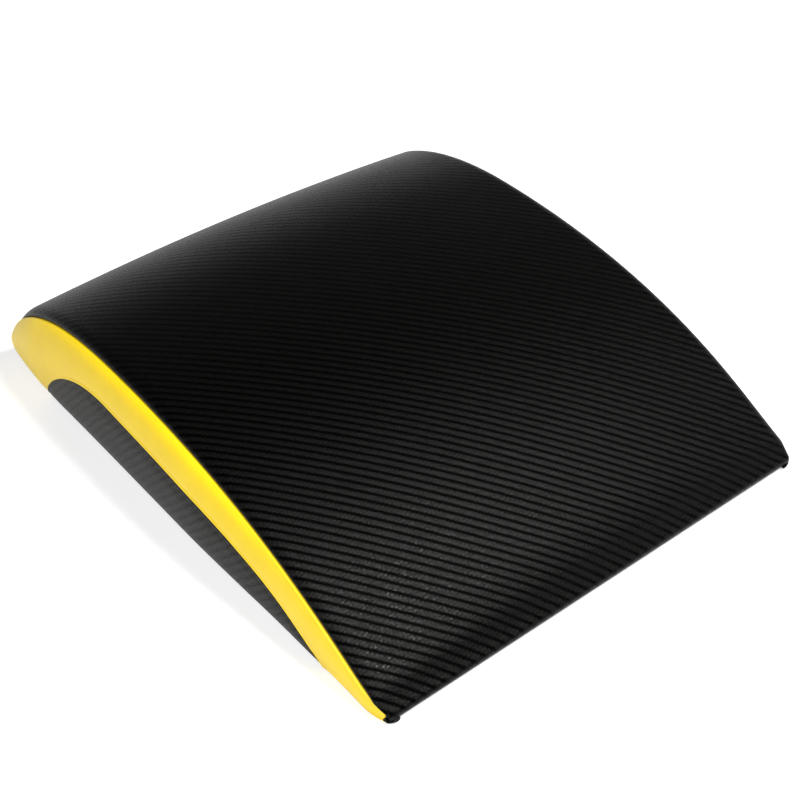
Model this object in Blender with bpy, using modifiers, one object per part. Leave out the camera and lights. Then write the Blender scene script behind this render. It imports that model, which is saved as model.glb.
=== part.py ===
"""A wedge-shaped sit-up mat: a foam core in a sewn vinyl cover, closed by a zip across the thick end.

Metres, Z up. X runs across the mat, Y along it from the thin front edge (-Y) to the thick back (+Y).
The mat stands on Z = 0 and the origin is under the middle of its box.
"""

import math

import bmesh
import bpy
from mathutils import Vector

# The pad: its seams, seen from the side and from above
LENGTH = 0.370
SEAM_WIDTH = 0.2907
SEAM_HEIGHT = 0.0680
FRONT_EDGE_HEIGHT = 0.0060
FRONT_SEAM_HEIGHT = 0.0006
FRONT_EDGE_HEADING = 15.2
BACK_SEAM_HEIGHT = 0.0113
SIDE_SEAM_LIFT = 0.0015
HEEL_LENGTH = 0.0733
TOE_LENGTH = 0.024
FRONT_FLARE = 0.0023
CORNER_DRAW = 0.0030
CORNER_LENGTH = 0.018
TURN_UNDER = 0.0015

# How the panels puff between their seams
CROWN = 0.0048
ROLL_HEIGHT = 0.0052
ROLL_WIDTH = 0.0066
SIDE_BULGE = 0.0096
FULL_BULGE_HEIGHT = 0.050
BULGE_GROWTH = 0.100
PUFF_START = 0.0032
ROLL_FADE = 0.0205
CROWN_FADE = 0.037
BACK_FADE = 0.0395
BASE_ROLL = 0.007

# Materials' thickness and the clearance between neighbouring pieces
VINYL = 0.0012
GAP = 0.0003
CUT_OVERRUN = 0.010
WELD_DISTANCE = 0.000003

# The dark inset in each side panel
INSET_FRONT_SETBACK = 0.045
INSET_BACK_SETBACK = 0.048
INSET_HEIGHT = 0.0484

# The zip, a No. 5 chain of moulded teeth
ZIP_FACE_LOW = 0.0138
ZIP_FACE_HIGH = 0.0250
ZIP_RECESS = 0.0020
TOOTH_PITCH = 0.0034
TOOTH_THICKNESS = 0.0022
HEAD_WIDTH = 0.00136
NECK_WIDTH = 0.00086
HEAD_REACH = 0.0010
SPINE_INNER = 0.0016
SPINE_WIDTH = 0.0009
CHAIN_END_MARGIN = 0.0296
TAPE_THICKNESS = 0.0006
TAPE_END_MARGIN = 0.0040
TAPE_MARGIN = 0.0014
STOP_LENGTH = 0.0020
STOP_WIDTH = 0.0024
STOP_THICKNESS = 0.0030

# The zip's slider and its pull tab
SLIDER_LENGTH = 0.0105
SLIDER_WIDTH = 0.0092
SLIDER_MOUTH_WIDTH = 0.0076
PLATE = 0.0011
FLANGE = 0.0009
TAPE_SLOT = 0.0014
WEDGE_LENGTH = 0.0036
WEDGE_WIDTH = 0.0026
CROSSBAR = 0.0013
BRIDGE_LENGTH = 0.0074
BRIDGE_WIDTH = 0.0026
BRIDGE_THICKNESS = 0.0009
BRIDGE_LEG = 0.0010
TAB_LENGTH = 0.0270
TAB_WIDTH = 0.0078
TAB_ARM = 0.0014
TAB_THICKNESS = 0.0013
TAB_GRIP_LENGTH = 0.0110

# Shares of the side outline: where its crest is, and how long each curve's handles are
CREST_SHARE = 0.662
FRONT_HANDLE_SHARE = 0.088
CREST_FRONT_HANDLE_SHARE = 0.4305
CREST_BACK_HANDLE_SHARE = 0.778
BACK_HANDLE_SHARE = 0.155
HEEL_BACK_HANDLE_SHARE = 0.36
HEEL_FRONT_HANDLE_SHARE = 0.21
TOE_HANDLE_SHARE = 0.35

# Shares of the inset's outline, along and up
INSET_CREST_SHARE = 0.29
INSET_FRONT_HANDLE_SHARES = ((0.37, 0.92), (0.73, 0.92))
INSET_BACK_HANDLE_SHARES = ((0.50, 1.0), (0.80, 0.58))

# Shares across the top, from a side seam to the middle: in the roll, and beyond it
ROLL_SHARES = (0.0, 0.07, 0.28, 0.6, 1.0)
CROWN_SHARES = (0.34, 0.68)
# Shares up a side panel, from the base seam to the top seam
SIDE_SHARES = (0.0, 0.015, 0.07, 0.2, 0.42, 0.66, 0.85, 0.95, 0.988, 1.0)
LOWER_FULLNESS = 2.5
UPPER_FULLNESS = 1.8
BULGE_FADE = 0.7
FRONT_BULGE_SHARE = 0.62
BULGE_GROWTH_START_SHARE = 0.19
# The same for the foam
FOAM_SHARES = (0.0, 0.07, 0.42, 0.66, 0.94, 1.0)
# Shares from the middle of the flat of the underside to its edge
BASE_SHARES = (1.0,)

# One row of teeth against the other, as a share of the pitch
TOOTH_SHIFT_SHARE = 0.5
# The slider's plate from its nose to its shoulders: (share of the half width along, share of it across)
SLIDER_NOSE_SHARES = ((0.0, 0.5), (0.25, 0.85))
# The blunt point of the wedge, as a share of its width
WEDGE_POINT_SHARE = 0.25
# The pull tab's width at its arms and its waist, and how much of it the grip's corners take off
TAB_ARM_SHARE = 0.8
TAB_WAIST_SHARE = 0.72
TAB_CORNER_SHARE = 0.45

EDGE_STEPS = 5
FRONT_STEPS = 13
BACK_STEPS = 14
HEEL_STEPS = 7
SIDE_STEPS = 34

BLACK_CARBON = ((0.012, 0.012, 0.013, 1.0), 0.42, 0.0)
GREY_CARBON = ((0.050, 0.050, 0.052, 1.0), 0.45, 0.0)
YELLOW_VINYL = ((0.83, 0.60, 0.060, 1.0), 0.45, 0.0)
BASE_VINYL = ((0.020, 0.020, 0.021, 1.0), 0.60, 0.0)
FOAM = ((0.22, 0.23, 0.25, 1.0), 0.95, 0.0)
TAPE_FABRIC = ((0.014, 0.014, 0.014, 1.0), 0.85, 0.0)
MOULDED_BLACK = ((0.018, 0.018, 0.018, 1.0), 0.40, 0.0)
BLACK_METAL = ((0.030, 0.030, 0.032, 1.0), 0.35, 1.0)


def clear_scene():
    for old in list(bpy.data.objects):
        bpy.data.objects.remove(old, do_unlink=True)


def new_collection(name, parent):
    made = bpy.data.collections.new(name)
    parent.children.link(made)
    return made


def material(name, finish):
    colour, roughness, metallic = finish
    made = bpy.data.materials.new(name)
    made.use_nodes = True
    made.diffuse_color = colour
    shader = made.node_tree.nodes["Principled BSDF"]
    shader.inputs["Base Color"].default_value = colour
    shader.inputs["Roughness"].default_value = roughness
    shader.inputs["Metallic"].default_value = metallic
    return made


def smooth_step(x):
    x = min(max(x, 0.0), 1.0)
    return x * x * (3 - 2 * x)


def bezier(points, share):
    a, b, c, d = points
    rest = 1 - share
    return a * rest**3 + b * 3 * rest**2 * share + c * 3 * rest * share**2 + d * share**3


def along(points, steps, first=0):
    return [bezier(points, i / steps) for i in range(first, steps + 1)]


# The side outline, as points (y, z)

FRONT_Y = -LENGTH / 2
BACK_Y = LENGTH / 2
EDGE_RISE = math.radians(FRONT_EDGE_HEADING)
EDGE_RADIUS = (FRONT_EDGE_HEIGHT - FRONT_SEAM_HEIGHT) / (1 + math.cos(EDGE_RISE))
EDGE_MIDDLE = Vector((FRONT_Y + EDGE_RADIUS, FRONT_SEAM_HEIGHT + EDGE_RADIUS))
CREST = Vector((FRONT_Y + CREST_SHARE * LENGTH, SEAM_HEIGHT))
NOSE = Vector((BACK_Y, BACK_SEAM_HEIGHT))
HEEL = Vector((BACK_Y - HEEL_LENGTH, 0.0))


def front_edge():
    """The top panel turned round the thin front edge, from the seam under it."""
    whole = math.pi - EDGE_RISE
    turns = [-math.pi / 2 - whole * i / EDGE_STEPS for i in range(EDGE_STEPS)]
    arc = [EDGE_MIDDLE + EDGE_RADIUS * Vector((math.cos(a), math.sin(a))) for a in turns]
    return [arc[0] + Vector((TURN_UNDER, 0.0))] + arc


def front_slope():
    """From the front edge up to the crest."""
    heading = Vector((math.cos(EDGE_RISE), math.sin(EDGE_RISE)))
    start = EDGE_MIDDLE + EDGE_RADIUS * Vector((-heading.y, heading.x))
    rise = FRONT_HANDLE_SHARE * LENGTH * heading
    level = Vector((CREST_FRONT_HANDLE_SHARE * LENGTH, 0.0))
    return (start, start + rise, CREST - level, CREST)


def back_slope():
    """From the crest down round the thick end to the seam at its foot."""
    level = Vector((CREST_BACK_HANDLE_SHARE * (NOSE.x - CREST.x), 0.0))
    drop = Vector((0.0, BACK_HANDLE_SHARE * (CREST.y - NOSE.y)))
    return (CREST, CREST + level, NOSE + drop, NOSE)


def heel():
    """From the seam at the thick end's foot in under the mat to the flat base."""
    drop = Vector((0.0, HEEL_BACK_HANDLE_SHARE * NOSE.y))
    level = Vector((HEEL_FRONT_HANDLE_SHARE * HEEL_LENGTH, 0.0))
    return (NOSE, NOSE - drop, HEEL + level, HEEL)


TOP_LINE = front_edge() + along(front_slope(), FRONT_STEPS) + along(back_slope(), BACK_STEPS, 1)
FRONT_SEAM_Y = TOP_LINE[0].x


def length_to_each(line):
    runs = [0.0]
    for a, b in zip(line, line[1:]):
        runs.append(runs[-1] + (b - a).length)
    return runs


def outward_at(line, i):
    a, b = line[max(i - 1, 0)], line[min(i + 1, len(line) - 1)]
    run = (b - a).normalized()
    return Vector((-run.y, run.x))


def read(line, y):
    """The height of a line of (y, z) points, which rise in y, at one y."""
    if y <= line[0].x:
        return line[0].y
    for a, b in zip(line, line[1:]):
        if a.x <= y <= b.x and b.x > a.x:
            return a.y + (b.y - a.y) * (y - a.x) / (b.x - a.x)
    return line[-1].y


def top_at(y):
    return read(TOP_LINE[EDGE_STEPS + 1 :], y)


def toe():
    """From the flat base up to the seam under the front edge."""
    start = Vector((FRONT_Y + TOE_LENGTH, 0.0))
    end = Vector((FRONT_SEAM_Y, FRONT_SEAM_HEIGHT))
    level = Vector(((start.x - end.x) * TOE_HANDLE_SHARE, 0.0))
    return (start, start - level, end + level, end)


BASE_LINE = along(toe(), HEEL_STEPS)[::-1] + along(heel(), HEEL_STEPS)[::-1]


def base_at(y):
    return read(BASE_LINE, y)


def side_base_at(y):
    """The base seam at a side, lifted a little from the floor along the flat of the base."""
    rise = smooth_step((y - FRONT_SEAM_Y) / TOE_LENGTH)
    rise *= smooth_step((BACK_Y - y) / HEEL_LENGTH)
    return base_at(y) + SIDE_SEAM_LIFT * rise


def half_width_at(y):
    """Half the width between the side seams: it grows forward from the heel, but for the corners."""
    forward = min(max((HEEL.x - y) / (HEEL.x - FRONT_Y), 0.0), 1.0)
    drawn = 1 - min(max((y - FRONT_Y) / CORNER_LENGTH, 0.0), 1.0)
    return SEAM_WIDTH / 2 + FRONT_FLARE * forward - CORNER_DRAW * drawn**2


def bulge_at(y, share_up):
    """How far a side stands out from its seams: rounder above its middle, and less at the front."""
    height = max(top_at(y) - side_base_at(y), 0.0)
    power = LOWER_FULLNESS if share_up < 1 - share_up else UPPER_FULLNESS
    belly = max(1 - abs(2 * share_up - 1) ** power, 0.0) ** (1 / power)
    grown = smooth_step((y - FRONT_Y - BULGE_GROWTH_START_SHARE * LENGTH) / BULGE_GROWTH)
    held = FRONT_BULGE_SHARE + (1 - FRONT_BULGE_SHARE) * grown
    return SIDE_BULGE * held * belly * min(1.0, height / FULL_BULGE_HEIGHT) ** BULGE_FADE


def puff_at(x, half, run):
    """How far the top panel stands off its side seams: its rolled edges and its crown."""
    back = smooth_step((ZIP_RUN - run) / BACK_FADE)
    rolled = back * smooth_step((run - PUFF_START) / ROLL_FADE)
    crowned = back * smooth_step((run - PUFF_START) / CROWN_FADE)
    inward = min((half - abs(x)) / ROLL_WIDTH, 1.0)
    roll = ROLL_HEIGHT * math.sqrt(max(1 - (1 - inward) ** 2, 0.0))
    return rolled * roll + crowned * CROWN * (1 - (x / half) ** 2)


def sewn_columns(half):
    """Places across the top panel, close together in the roll beside each seam."""
    left = [-half + ROLL_WIDTH * share for share in ROLL_SHARES]
    left += [-(half - ROLL_WIDTH) * (1 - share) for share in CROWN_SHARES]
    return left + [0.0] + [-x for x in reversed(left)]


# The zip's own frame: x along the chain, y down across it, z out of the mat

def point_at_height(height):
    """The point of the back slope at one height."""
    for a, b in zip(TOP_LINE[::-1], TOP_LINE[-2::-1]):
        if a.y <= height <= b.y:
            return a + (b - a) * (height - a.y) / (b.y - a.y)
    return TOP_LINE[-1]


ZIP_LOW = point_at_height(ZIP_FACE_LOW)
ZIP_HIGH = point_at_height(ZIP_FACE_HIGH)
ZIP_UP = (ZIP_HIGH - ZIP_LOW).normalized()
ZIP_OUT = Vector((ZIP_UP.y, -ZIP_UP.x))
ZIP_CENTRE = (ZIP_LOW + ZIP_HIGH) / 2 - ZIP_RECESS * ZIP_OUT
ZIP_TILT = math.atan2(-ZIP_UP.y, -ZIP_UP.x)
FACE_HALF = (ZIP_HIGH - ZIP_LOW).length / 2
ABOVE_ZIP = [p for p in TOP_LINE if p.x < CREST.x or p.y > ZIP_HIGH.y]
ZIP_RUN = length_to_each(ABOVE_ZIP + [ZIP_HIGH])[-1]

CHAIN_START = -SEAM_WIDTH / 2 + CHAIN_END_MARGIN
CHAIN_END = SEAM_WIDTH / 2 - CHAIN_END_MARGIN
SPINE_OUTER = SPINE_INNER + SPINE_WIDTH
TAPE_INNER = SPINE_OUTER + GAP
TAPE_OUTER = FACE_HALF + TAPE_MARGIN
PLATE_INNER = TOOTH_THICKNESS / 2 + GAP
PLATE_OUTER = PLATE_INNER + PLATE
FOAM_BEHIND_ZIP = PLATE_OUTER + GAP


def link(obj, collection, finish):
    collection.objects.link(obj)
    if finish is not None:
        obj.data.materials.append(finish)
    return obj


def shaped_grid(name, rows, columns, place):
    """A grid whose point at row i, column j goes to place(i, j)."""
    mesh = bpy.data.meshes.new(name)
    bm = bmesh.new()
    bmesh.ops.create_grid(bm, x_segments=columns - 1, y_segments=rows - 1, size=1)
    for v in bm.verts:
        j = round((v.co.x + 1) / 2 * (columns - 1))
        i = round((v.co.y + 1) / 2 * (rows - 1))
        v.co = place(i, j)
    bm.to_mesh(mesh)
    bm.free()
    return bpy.data.objects.new(name, mesh)


def give_thickness(obj, thickness):
    """Thickness inward from the face that shows."""
    shell = obj.modifiers.new("thickness", "SOLIDIFY")
    shell.thickness = thickness
    shell.offset = -1
    shell.use_even_offset = True


def shade(obj, angle_degrees=40):
    obj.data.shade_smooth()
    obj.data.set_sharp_from_angle(angle=math.radians(angle_degrees))


def top_panel(collection, finish):
    """The black top: from the seam under the front edge, over the crest, to the zip."""
    line = ABOVE_ZIP + [ZIP_HIGH]
    runs = length_to_each(line)

    def place(i, j):
        y, z = line[i]
        half = half_width_at(y) - GAP
        x = sewn_columns(half)[j]
        off = puff_at(x, half, runs[i]) + (GAP if i > EDGE_STEPS else 0.0)
        out = outward_at(line, i)
        return (x, y + out.x * off, z + out.y * off)

    obj = shaped_grid("top_panel", len(line), len(sewn_columns(SEAM_WIDTH)), place)
    give_thickness(obj, VINYL)
    shade(obj)
    return link(obj, collection, finish)


def base_panel(collection, finish):
    """The underside: flat on the floor, turned up round the foot of the thick end to the zip."""
    start = FRONT_SEAM_Y + GAP
    line = [Vector((start, base_at(start)))] + [p for p in BASE_LINE if start < p.x < NOSE.x]
    line += [NOSE, ZIP_LOW]
    shares = sorted({-s for s in BASE_SHARES} | set(BASE_SHARES))

    def columns(half):
        flat = half - BASE_ROLL
        inner = [flat * s for s in shares]
        return [-half] + inner + [half]

    def place(i, j):
        y, z = line[i]
        half = half_width_at(y) - GAP
        x = columns(half)[j]
        at_seam = abs(x) > half - BASE_ROLL / 2
        lift = side_base_at(y) - base_at(y) if at_seam and i < len(line) - 2 else 0.0
        return (x, y, z + lift)

    obj = shaped_grid("base_panel", len(line), len(shares) + 2, place)
    obj.data.flip_normals()
    give_thickness(obj, VINYL)
    shade(obj)
    return link(obj, collection, finish)


def side_shell(name, side):
    """A whole side panel, bulged between the top seam and the base seam; side is -1 or 1."""
    first = FRONT_Y + EDGE_RADIUS
    last = BACK_Y - VINYL

    def place(i, j):
        turn = math.pi * i / SIDE_STEPS
        y = (first + last) / 2 - (last - first) / 2 * math.cos(turn)
        share = SIDE_SHARES[j]
        low, high = side_base_at(y), top_at(y)
        z = low + share * (high - low)
        return (side * (half_width_at(y) + bulge_at(y, share)), y, z)

    obj = shaped_grid(name, SIDE_STEPS + 1, len(SIDE_SHARES), place)
    if side > 0:
        obj.data.flip_normals()
    give_thickness(obj, VINYL)
    return obj


def inset_outline(grow):
    """The inset's upper edge from front to back, moved outward by grow, closed well below the base."""
    front = Vector((FRONT_Y + INSET_FRONT_SETBACK, 0.0))
    back = Vector((BACK_Y - INSET_BACK_SETBACK, 0.0))
    crest = Vector((back.x - INSET_CREST_SHARE * (back.x - front.x), INSET_HEIGHT))

    def handle(end, shares):
        reach = end.x - crest.x
        return Vector((crest.x + shares[0] * reach, shares[1] * INSET_HEIGHT))

    to_front = [crest] + [handle(front, s) for s in INSET_FRONT_HANDLE_SHARES] + [front]
    to_back = [crest] + [handle(back, s) for s in INSET_BACK_HANDLE_SHARES] + [back]
    line = along(to_front, FRONT_STEPS)[::-1] + along(to_back, BACK_STEPS, 1)
    grown = [p + grow * outward_at(line, i) for i, p in enumerate(line)]
    below = -CUT_OVERRUN
    return [Vector((grown[0].x, below))] + grown + [Vector((grown[-1].x, below))]


def flat_outline(name, points, half_thickness):
    """A closed flat outline in x and y, with thickness both ways along z."""
    curve = bpy.data.curves.new(name, "CURVE")
    curve.dimensions = "2D"
    curve.fill_mode = "BOTH"
    curve.extrude = half_thickness
    spline = curve.splines.new("POLY")
    spline.points.add(len(points) - 1)
    for point, (x, y) in zip(spline.points, points):
        point.co = (x, y, 0.0, 1.0)
    spline.use_cyclic_u = True
    return bpy.data.objects.new(name, curve)


def as_mesh(obj, name, turn=None):
    """The object's evaluated shape as one welded mesh, with its caps joined on."""
    bpy.context.scene.collection.objects.link(obj)
    bpy.context.view_layer.update()
    graph = bpy.context.evaluated_depsgraph_get()
    mesh = bpy.data.meshes.new_from_object(obj.evaluated_get(graph))
    if turn is not None:
        mesh.transform(turn)
    bpy.data.objects.remove(obj, do_unlink=True)
    bm = bmesh.new()
    bm.from_mesh(mesh)
    bmesh.ops.remove_doubles(bm, verts=bm.verts, dist=WELD_DISTANCE)
    bmesh.ops.recalc_face_normals(bm, faces=bm.faces)
    bm.to_mesh(mesh)
    bm.free()
    return bpy.data.objects.new(name, mesh)


def keep_as_tool(obj, collection, parent=None):
    """Files away a shape that only cuts or joins another."""
    collection.objects.link(obj)
    obj.parent = parent
    obj.hide_render = True
    obj.display_type = "WIRE"


def cutter(name, points, half_thickness, collection):
    """A cutting prism whose outline lies in Y and Z and which runs along X."""
    made = as_mesh(flat_outline(name, points, half_thickness), name)
    for v in made.data.vertices:
        y, z, x = v.co
        v.co = (x, y, z)
    keep_as_tool(made, collection)
    return made


def cut(obj, tool, operation):
    step = obj.modifiers.new(operation.lower(), "BOOLEAN")
    step.operation = operation
    step.solver = "EXACT"
    step.object = tool


def side_panels(collection, cutters, yellow, grey):
    """Each side: a yellow band, and the dark inset let into its lower edge."""
    reach = SEAM_WIDTH + SIDE_BULGE
    hole = cutter("inset_hole", inset_outline(GAP / 2), reach, cutters)
    patch = cutter("inset_patch", inset_outline(-GAP / 2), reach, cutters)
    for side, word in ((-1, "left"), (1, "right")):
        band = link(side_shell(f"{word}_side_band", side), collection, yellow)
        cut(band, hole, "DIFFERENCE")
        inset = link(side_shell(f"{word}_side_inset", side), collection, grey)
        cut(inset, patch, "INTERSECT")


def foam_core(collection, finish):
    """The foam: the cover's inside, with a clearance, cut square behind the zip."""
    inset = VINYL + GAP
    tops, bases, runs = [], [], []
    for i, (p, run) in enumerate(zip(TOP_LINE, length_to_each(TOP_LINE))):
        q = p - inset * outward_at(TOP_LINE, i)
        floor = side_base_at(q.x) + inset
        if i > EDGE_STEPS and q.y - floor > inset and q.x < NOSE.x - inset * 2:
            tops.append(q)
            bases.append(Vector((q.x, floor)))
            runs.append(run)
    shares = FOAM_SHARES
    columns = len(sewn_columns(1.0))
    ring = columns * 2 + (len(shares) - 2) * 2

    def section(i):
        top, base = tops[i], bases[i]
        half = half_width_at(top.x) - inset
        out = outward_at(tops, i)
        across = sewn_columns(half)
        points = []
        for x in across:
            puff = puff_at(x, half, runs[i])
            points.append((x, top.x + out.x * puff, top.y + out.y * puff))
        for share in reversed(shares[1:-1]):
            x = half + bulge_at(base.x, share)
            points.append((x, base.x + share * (top.x - base.x), base.y + share * (top.y - base.y)))
        middle = base_at(base.x) + inset
        for x in reversed(across):
            low = base.y if abs(x) > half - BASE_ROLL else middle
            points.append((x, base.x, low))
        for share in shares[1:-1]:
            x = -half - bulge_at(base.x, share)
            points.append((x, base.x + share * (top.x - base.x), base.y + share * (top.y - base.y)))
        return points

    bm = bmesh.new()
    rings = [[bm.verts.new(p) for p in section(i)] for i in range(len(tops))]
    for a, b in zip(rings, rings[1:]):
        for k in range(ring):
            n = (k + 1) % ring
            bm.faces.new((a[k], a[n], b[n], b[k]))
    bm.faces.new(rings[0])
    bm.faces.new(rings[-1])
    square_off(bm)
    bmesh.ops.recalc_face_normals(bm, faces=bm.faces)
    mesh = bpy.data.meshes.new("foam_core")
    bm.to_mesh(mesh)
    bm.free()
    obj = bpy.data.objects.new("foam_core", mesh)
    shade(obj)
    return link(obj, collection, finish)


def square_off(bm):
    """Cuts the foam flat behind the zip, clear of the slider's inner plate."""
    at = ZIP_CENTRE - FOAM_BEHIND_ZIP * ZIP_OUT
    bmesh.ops.bisect_plane(
        bm,
        geom=bm.verts[:] + bm.edges[:] + bm.faces[:],
        plane_co=(0.0, at.x, at.y),
        plane_no=(0.0, ZIP_OUT.x, ZIP_OUT.y),
        clear_outer=True,
        dist=WELD_DISTANCE,
    )
    bmesh.ops.holes_fill(bm, edges=[e for e in bm.edges if e.is_boundary], sides=0)


def zip_line(collection):
    """The empty that carries the zip, on the chain's centre."""
    made = bpy.data.objects.new("zip_line", None)
    made.location = (0.0, ZIP_CENTRE.x, ZIP_CENTRE.y)
    made.rotation_euler = (ZIP_TILT, 0.0, 0.0)
    collection.objects.link(made)
    return made


def tooth_places(shift):
    count = int((CHAIN_END - CHAIN_START) / TOOTH_PITCH)
    return [CHAIN_START + TOOTH_PITCH * (i + TOOTH_SHIFT_SHARE + shift) for i in range(count)]


def tooth_row(name, side, shift, line, collection, finish):
    """One side's teeth on their spine. Each head reaches between the necks of the other row."""
    toothed, back = [], []
    places = tooth_places(shift)
    for x in places:
        neck, head = NECK_WIDTH / 2, HEAD_WIDTH / 2
        toothed += [
            (x - neck, SPINE_INNER),
            (x - head, -HEAD_REACH / 2),
            (x - head / 2, -HEAD_REACH),
            (x + head / 2, -HEAD_REACH),
            (x + head, -HEAD_REACH / 2),
            (x + neck, SPINE_INNER),
        ]
        back.append((x, SPINE_OUTER))
    ends = [CHAIN_START, places[-1] + TOOTH_PITCH / 2]
    outline = [(ends[0], SPINE_OUTER), (ends[0], SPINE_INNER)] + toothed
    outline += [(ends[1], SPINE_INNER), (ends[1], SPINE_OUTER)] + back[::-1]
    points = [(x, side * y) for x, y in outline]
    obj = as_mesh(flat_outline(name, points, TOOTH_THICKNESS / 2), name)
    obj.parent = line
    return link(obj, collection, finish)


def zip_tape(name, side, line, collection, finish):
    """A woven tape from the teeth's spine to just under the panel's edge."""
    half = SEAM_WIDTH / 2 - TAPE_END_MARGIN
    outer = TAPE_OUTER if side < 0 else FACE_HALF - GAP
    low, high = sorted((side * TAPE_INNER, side * outer))
    points = [(-half, low), (half, low), (half, high), (-half, high)]
    obj = as_mesh(flat_outline(name, points, TAPE_THICKNESS / 2), name)
    obj.parent = line
    return link(obj, collection, finish)


def block(name, size, centre):
    """A plain block."""
    mesh = bpy.data.meshes.new(name)
    bm = bmesh.new()
    bmesh.ops.create_cube(bm, size=1)
    bmesh.ops.scale(bm, vec=size, verts=bm.verts)
    bmesh.ops.translate(bm, vec=centre, verts=bm.verts)
    bm.to_mesh(mesh)
    bm.free()
    return bpy.data.objects.new(name, mesh)


def stop_block(name, centre, size, line, collection, finish):
    """A moulded stop that the slider meets at an end of the chain."""
    obj = block(name, size, centre)
    corner = obj.modifiers.new("rounded", "BEVEL")
    corner.width = GAP
    corner.segments = 2
    obj.parent = line
    return link(obj, collection, finish)


SLIDER_NOSE = CHAIN_START - WEDGE_LENGTH - GAP
SLIDER_X = SLIDER_NOSE + SLIDER_LENGTH / 2
BAR_HEIGHT = PLATE_OUTER + GAP + CROSSBAR / 2
BRIDGE_INNER = BAR_HEIGHT + CROSSBAR / 2 + GAP


def zip_stops(line, collection, finish):
    """Two top stops ahead of the slider, and one bottom stop across both rows."""
    x = SLIDER_NOSE - GAP - STOP_LENGTH / 2
    size = (STOP_LENGTH, STOP_WIDTH, STOP_THICKNESS)
    y = SPINE_OUTER - STOP_WIDTH / 2
    stop_block("zip_top_stop_upper", (x, -y, 0.0), size, line, collection, finish)
    stop_block("zip_top_stop_lower", (x, y, 0.0), size, line, collection, finish)
    last = tooth_places(TOOTH_SHIFT_SHARE)[-1] + TOOTH_PITCH / 2
    x = last + GAP + STOP_LENGTH / 2
    size = (STOP_LENGTH, SPINE_OUTER * 2, STOP_THICKNESS)
    stop_block("zip_bottom_stop", (x, 0.0, 0.0), size, line, collection, finish)


def slider_outline():
    """The slider's plate: narrow at its mouth, wide and rounded at its nose."""
    nose, tail = -SLIDER_LENGTH / 2, SLIDER_LENGTH / 2
    wide, mouth = SLIDER_WIDTH / 2, SLIDER_MOUTH_WIDTH / 2
    half = [(nose + along * wide, across * wide) for along, across in SLIDER_NOSE_SHARES]
    half += [(nose + WEDGE_LENGTH, wide), (tail, mouth)]
    return half + [(x, -y) for x, y in reversed(half)]


def lifted(obj, height):
    for v in obj.data.vertices:
        v.co.z += height
    return obj


def join(obj, tools, collection):
    """Joins the tools to the object, each by its own union."""
    for tool in tools:
        keep_as_tool(tool, collection, obj)
        cut(obj, tool, "UNION")


def wedge_outline():
    """The slider's wedge, which parts the two rows: blunt end towards the closed chain."""
    nose = -SLIDER_LENGTH / 2 + GAP
    tip = -SLIDER_LENGTH / 2 + WEDGE_LENGTH
    half = WEDGE_WIDTH / 2
    return [(nose, -half), (tip, -half * WEDGE_POINT_SHARE), (tip, half * WEDGE_POINT_SHARE), (nose, half)]


def flanges():
    """Four ribs beside the teeth, two on each plate, with the slot for the tapes between them."""
    low, high = TAPE_SLOT / 2, PLATE_INNER + PLATE / 2
    size = (SLIDER_LENGTH - WEDGE_LENGTH, FLANGE, high - low)
    x = WEDGE_LENGTH / 2 - GAP
    y = SLIDER_MOUTH_WIDTH / 2 - FLANGE / 2
    z = (low + high) / 2
    corners = [(a, b) for a in (-1, 1) for b in (-1, 1)]
    return [block("flange", size, (x, a * y, b * z)) for a, b in corners]


def bridge(root):
    """The bridge that holds the pull tab: two legs from the height root, and a bar across them."""
    top = BRIDGE_INNER + BRIDGE_THICKNESS
    leg = (BRIDGE_LEG, BRIDGE_WIDTH, top - root)
    bar = (BRIDGE_LENGTH - BRIDGE_LEG, BRIDGE_WIDTH - GAP, BRIDGE_THICKNESS)
    x = (BRIDGE_LENGTH - BRIDGE_LEG) / 2
    legs = [block("bridge_leg", leg, (end * x, 0.0, (root + top) / 2)) for end in (-1, 1)]
    return legs + [block("bridge_bar", bar, (0.0, 0.0, BRIDGE_INNER + BRIDGE_THICKNESS / 2))]


def zip_slider(line, collection, cutters, finish):
    """Two plates joined by the wedge, flanges beside the teeth, and the bridge that holds the tab."""
    plate = (PLATE_INNER + PLATE_OUTER) / 2
    body = lifted(as_mesh(flat_outline("zip_slider", slider_outline(), PLATE / 2), "zip_slider"), plate)
    inner = lifted(as_mesh(flat_outline("inner_plate", slider_outline(), PLATE / 2), "inner_plate"), -plate)
    wedge = as_mesh(flat_outline("wedge", wedge_outline(), plate), "wedge")
    body.parent = line
    body.location = (SLIDER_X, 0.0, 0.0)
    link(body, collection, finish)
    join(body, [inner, wedge] + flanges() + bridge(plate), cutters)
    return body


def tab_outline():
    """The pull tab from its crossbar at x = 0: two arms round the bridge, then a rounded grip."""
    half = TAB_WIDTH / 2
    arm, waist, corner = half * TAB_ARM_SHARE, half * TAB_WAIST_SHARE, half * TAB_CORNER_SHARE
    grip = TAB_LENGTH - TAB_GRIP_LENGTH
    side = [(-CROSSBAR / 2, arm), (BRIDGE_LENGTH, arm), (grip - half, waist), (grip, half)]
    side += [(TAB_LENGTH - corner, half), (TAB_LENGTH, half - corner)]
    return side + [(x, -y) for x, y in reversed(side)]


def tab_window():
    """The hole between the tab's arms, from its crossbar to past the bridge's leg."""
    low, high = CROSSBAR / 2, BRIDGE_LENGTH / 2 + BRIDGE_THICKNESS
    across = TAB_WIDTH * TAB_ARM_SHARE - 2 * TAB_ARM
    return block("tab_window", (high - low, across, CUT_OVERRUN), ((low + high) / 2, 0.0, 0.0))


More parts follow.
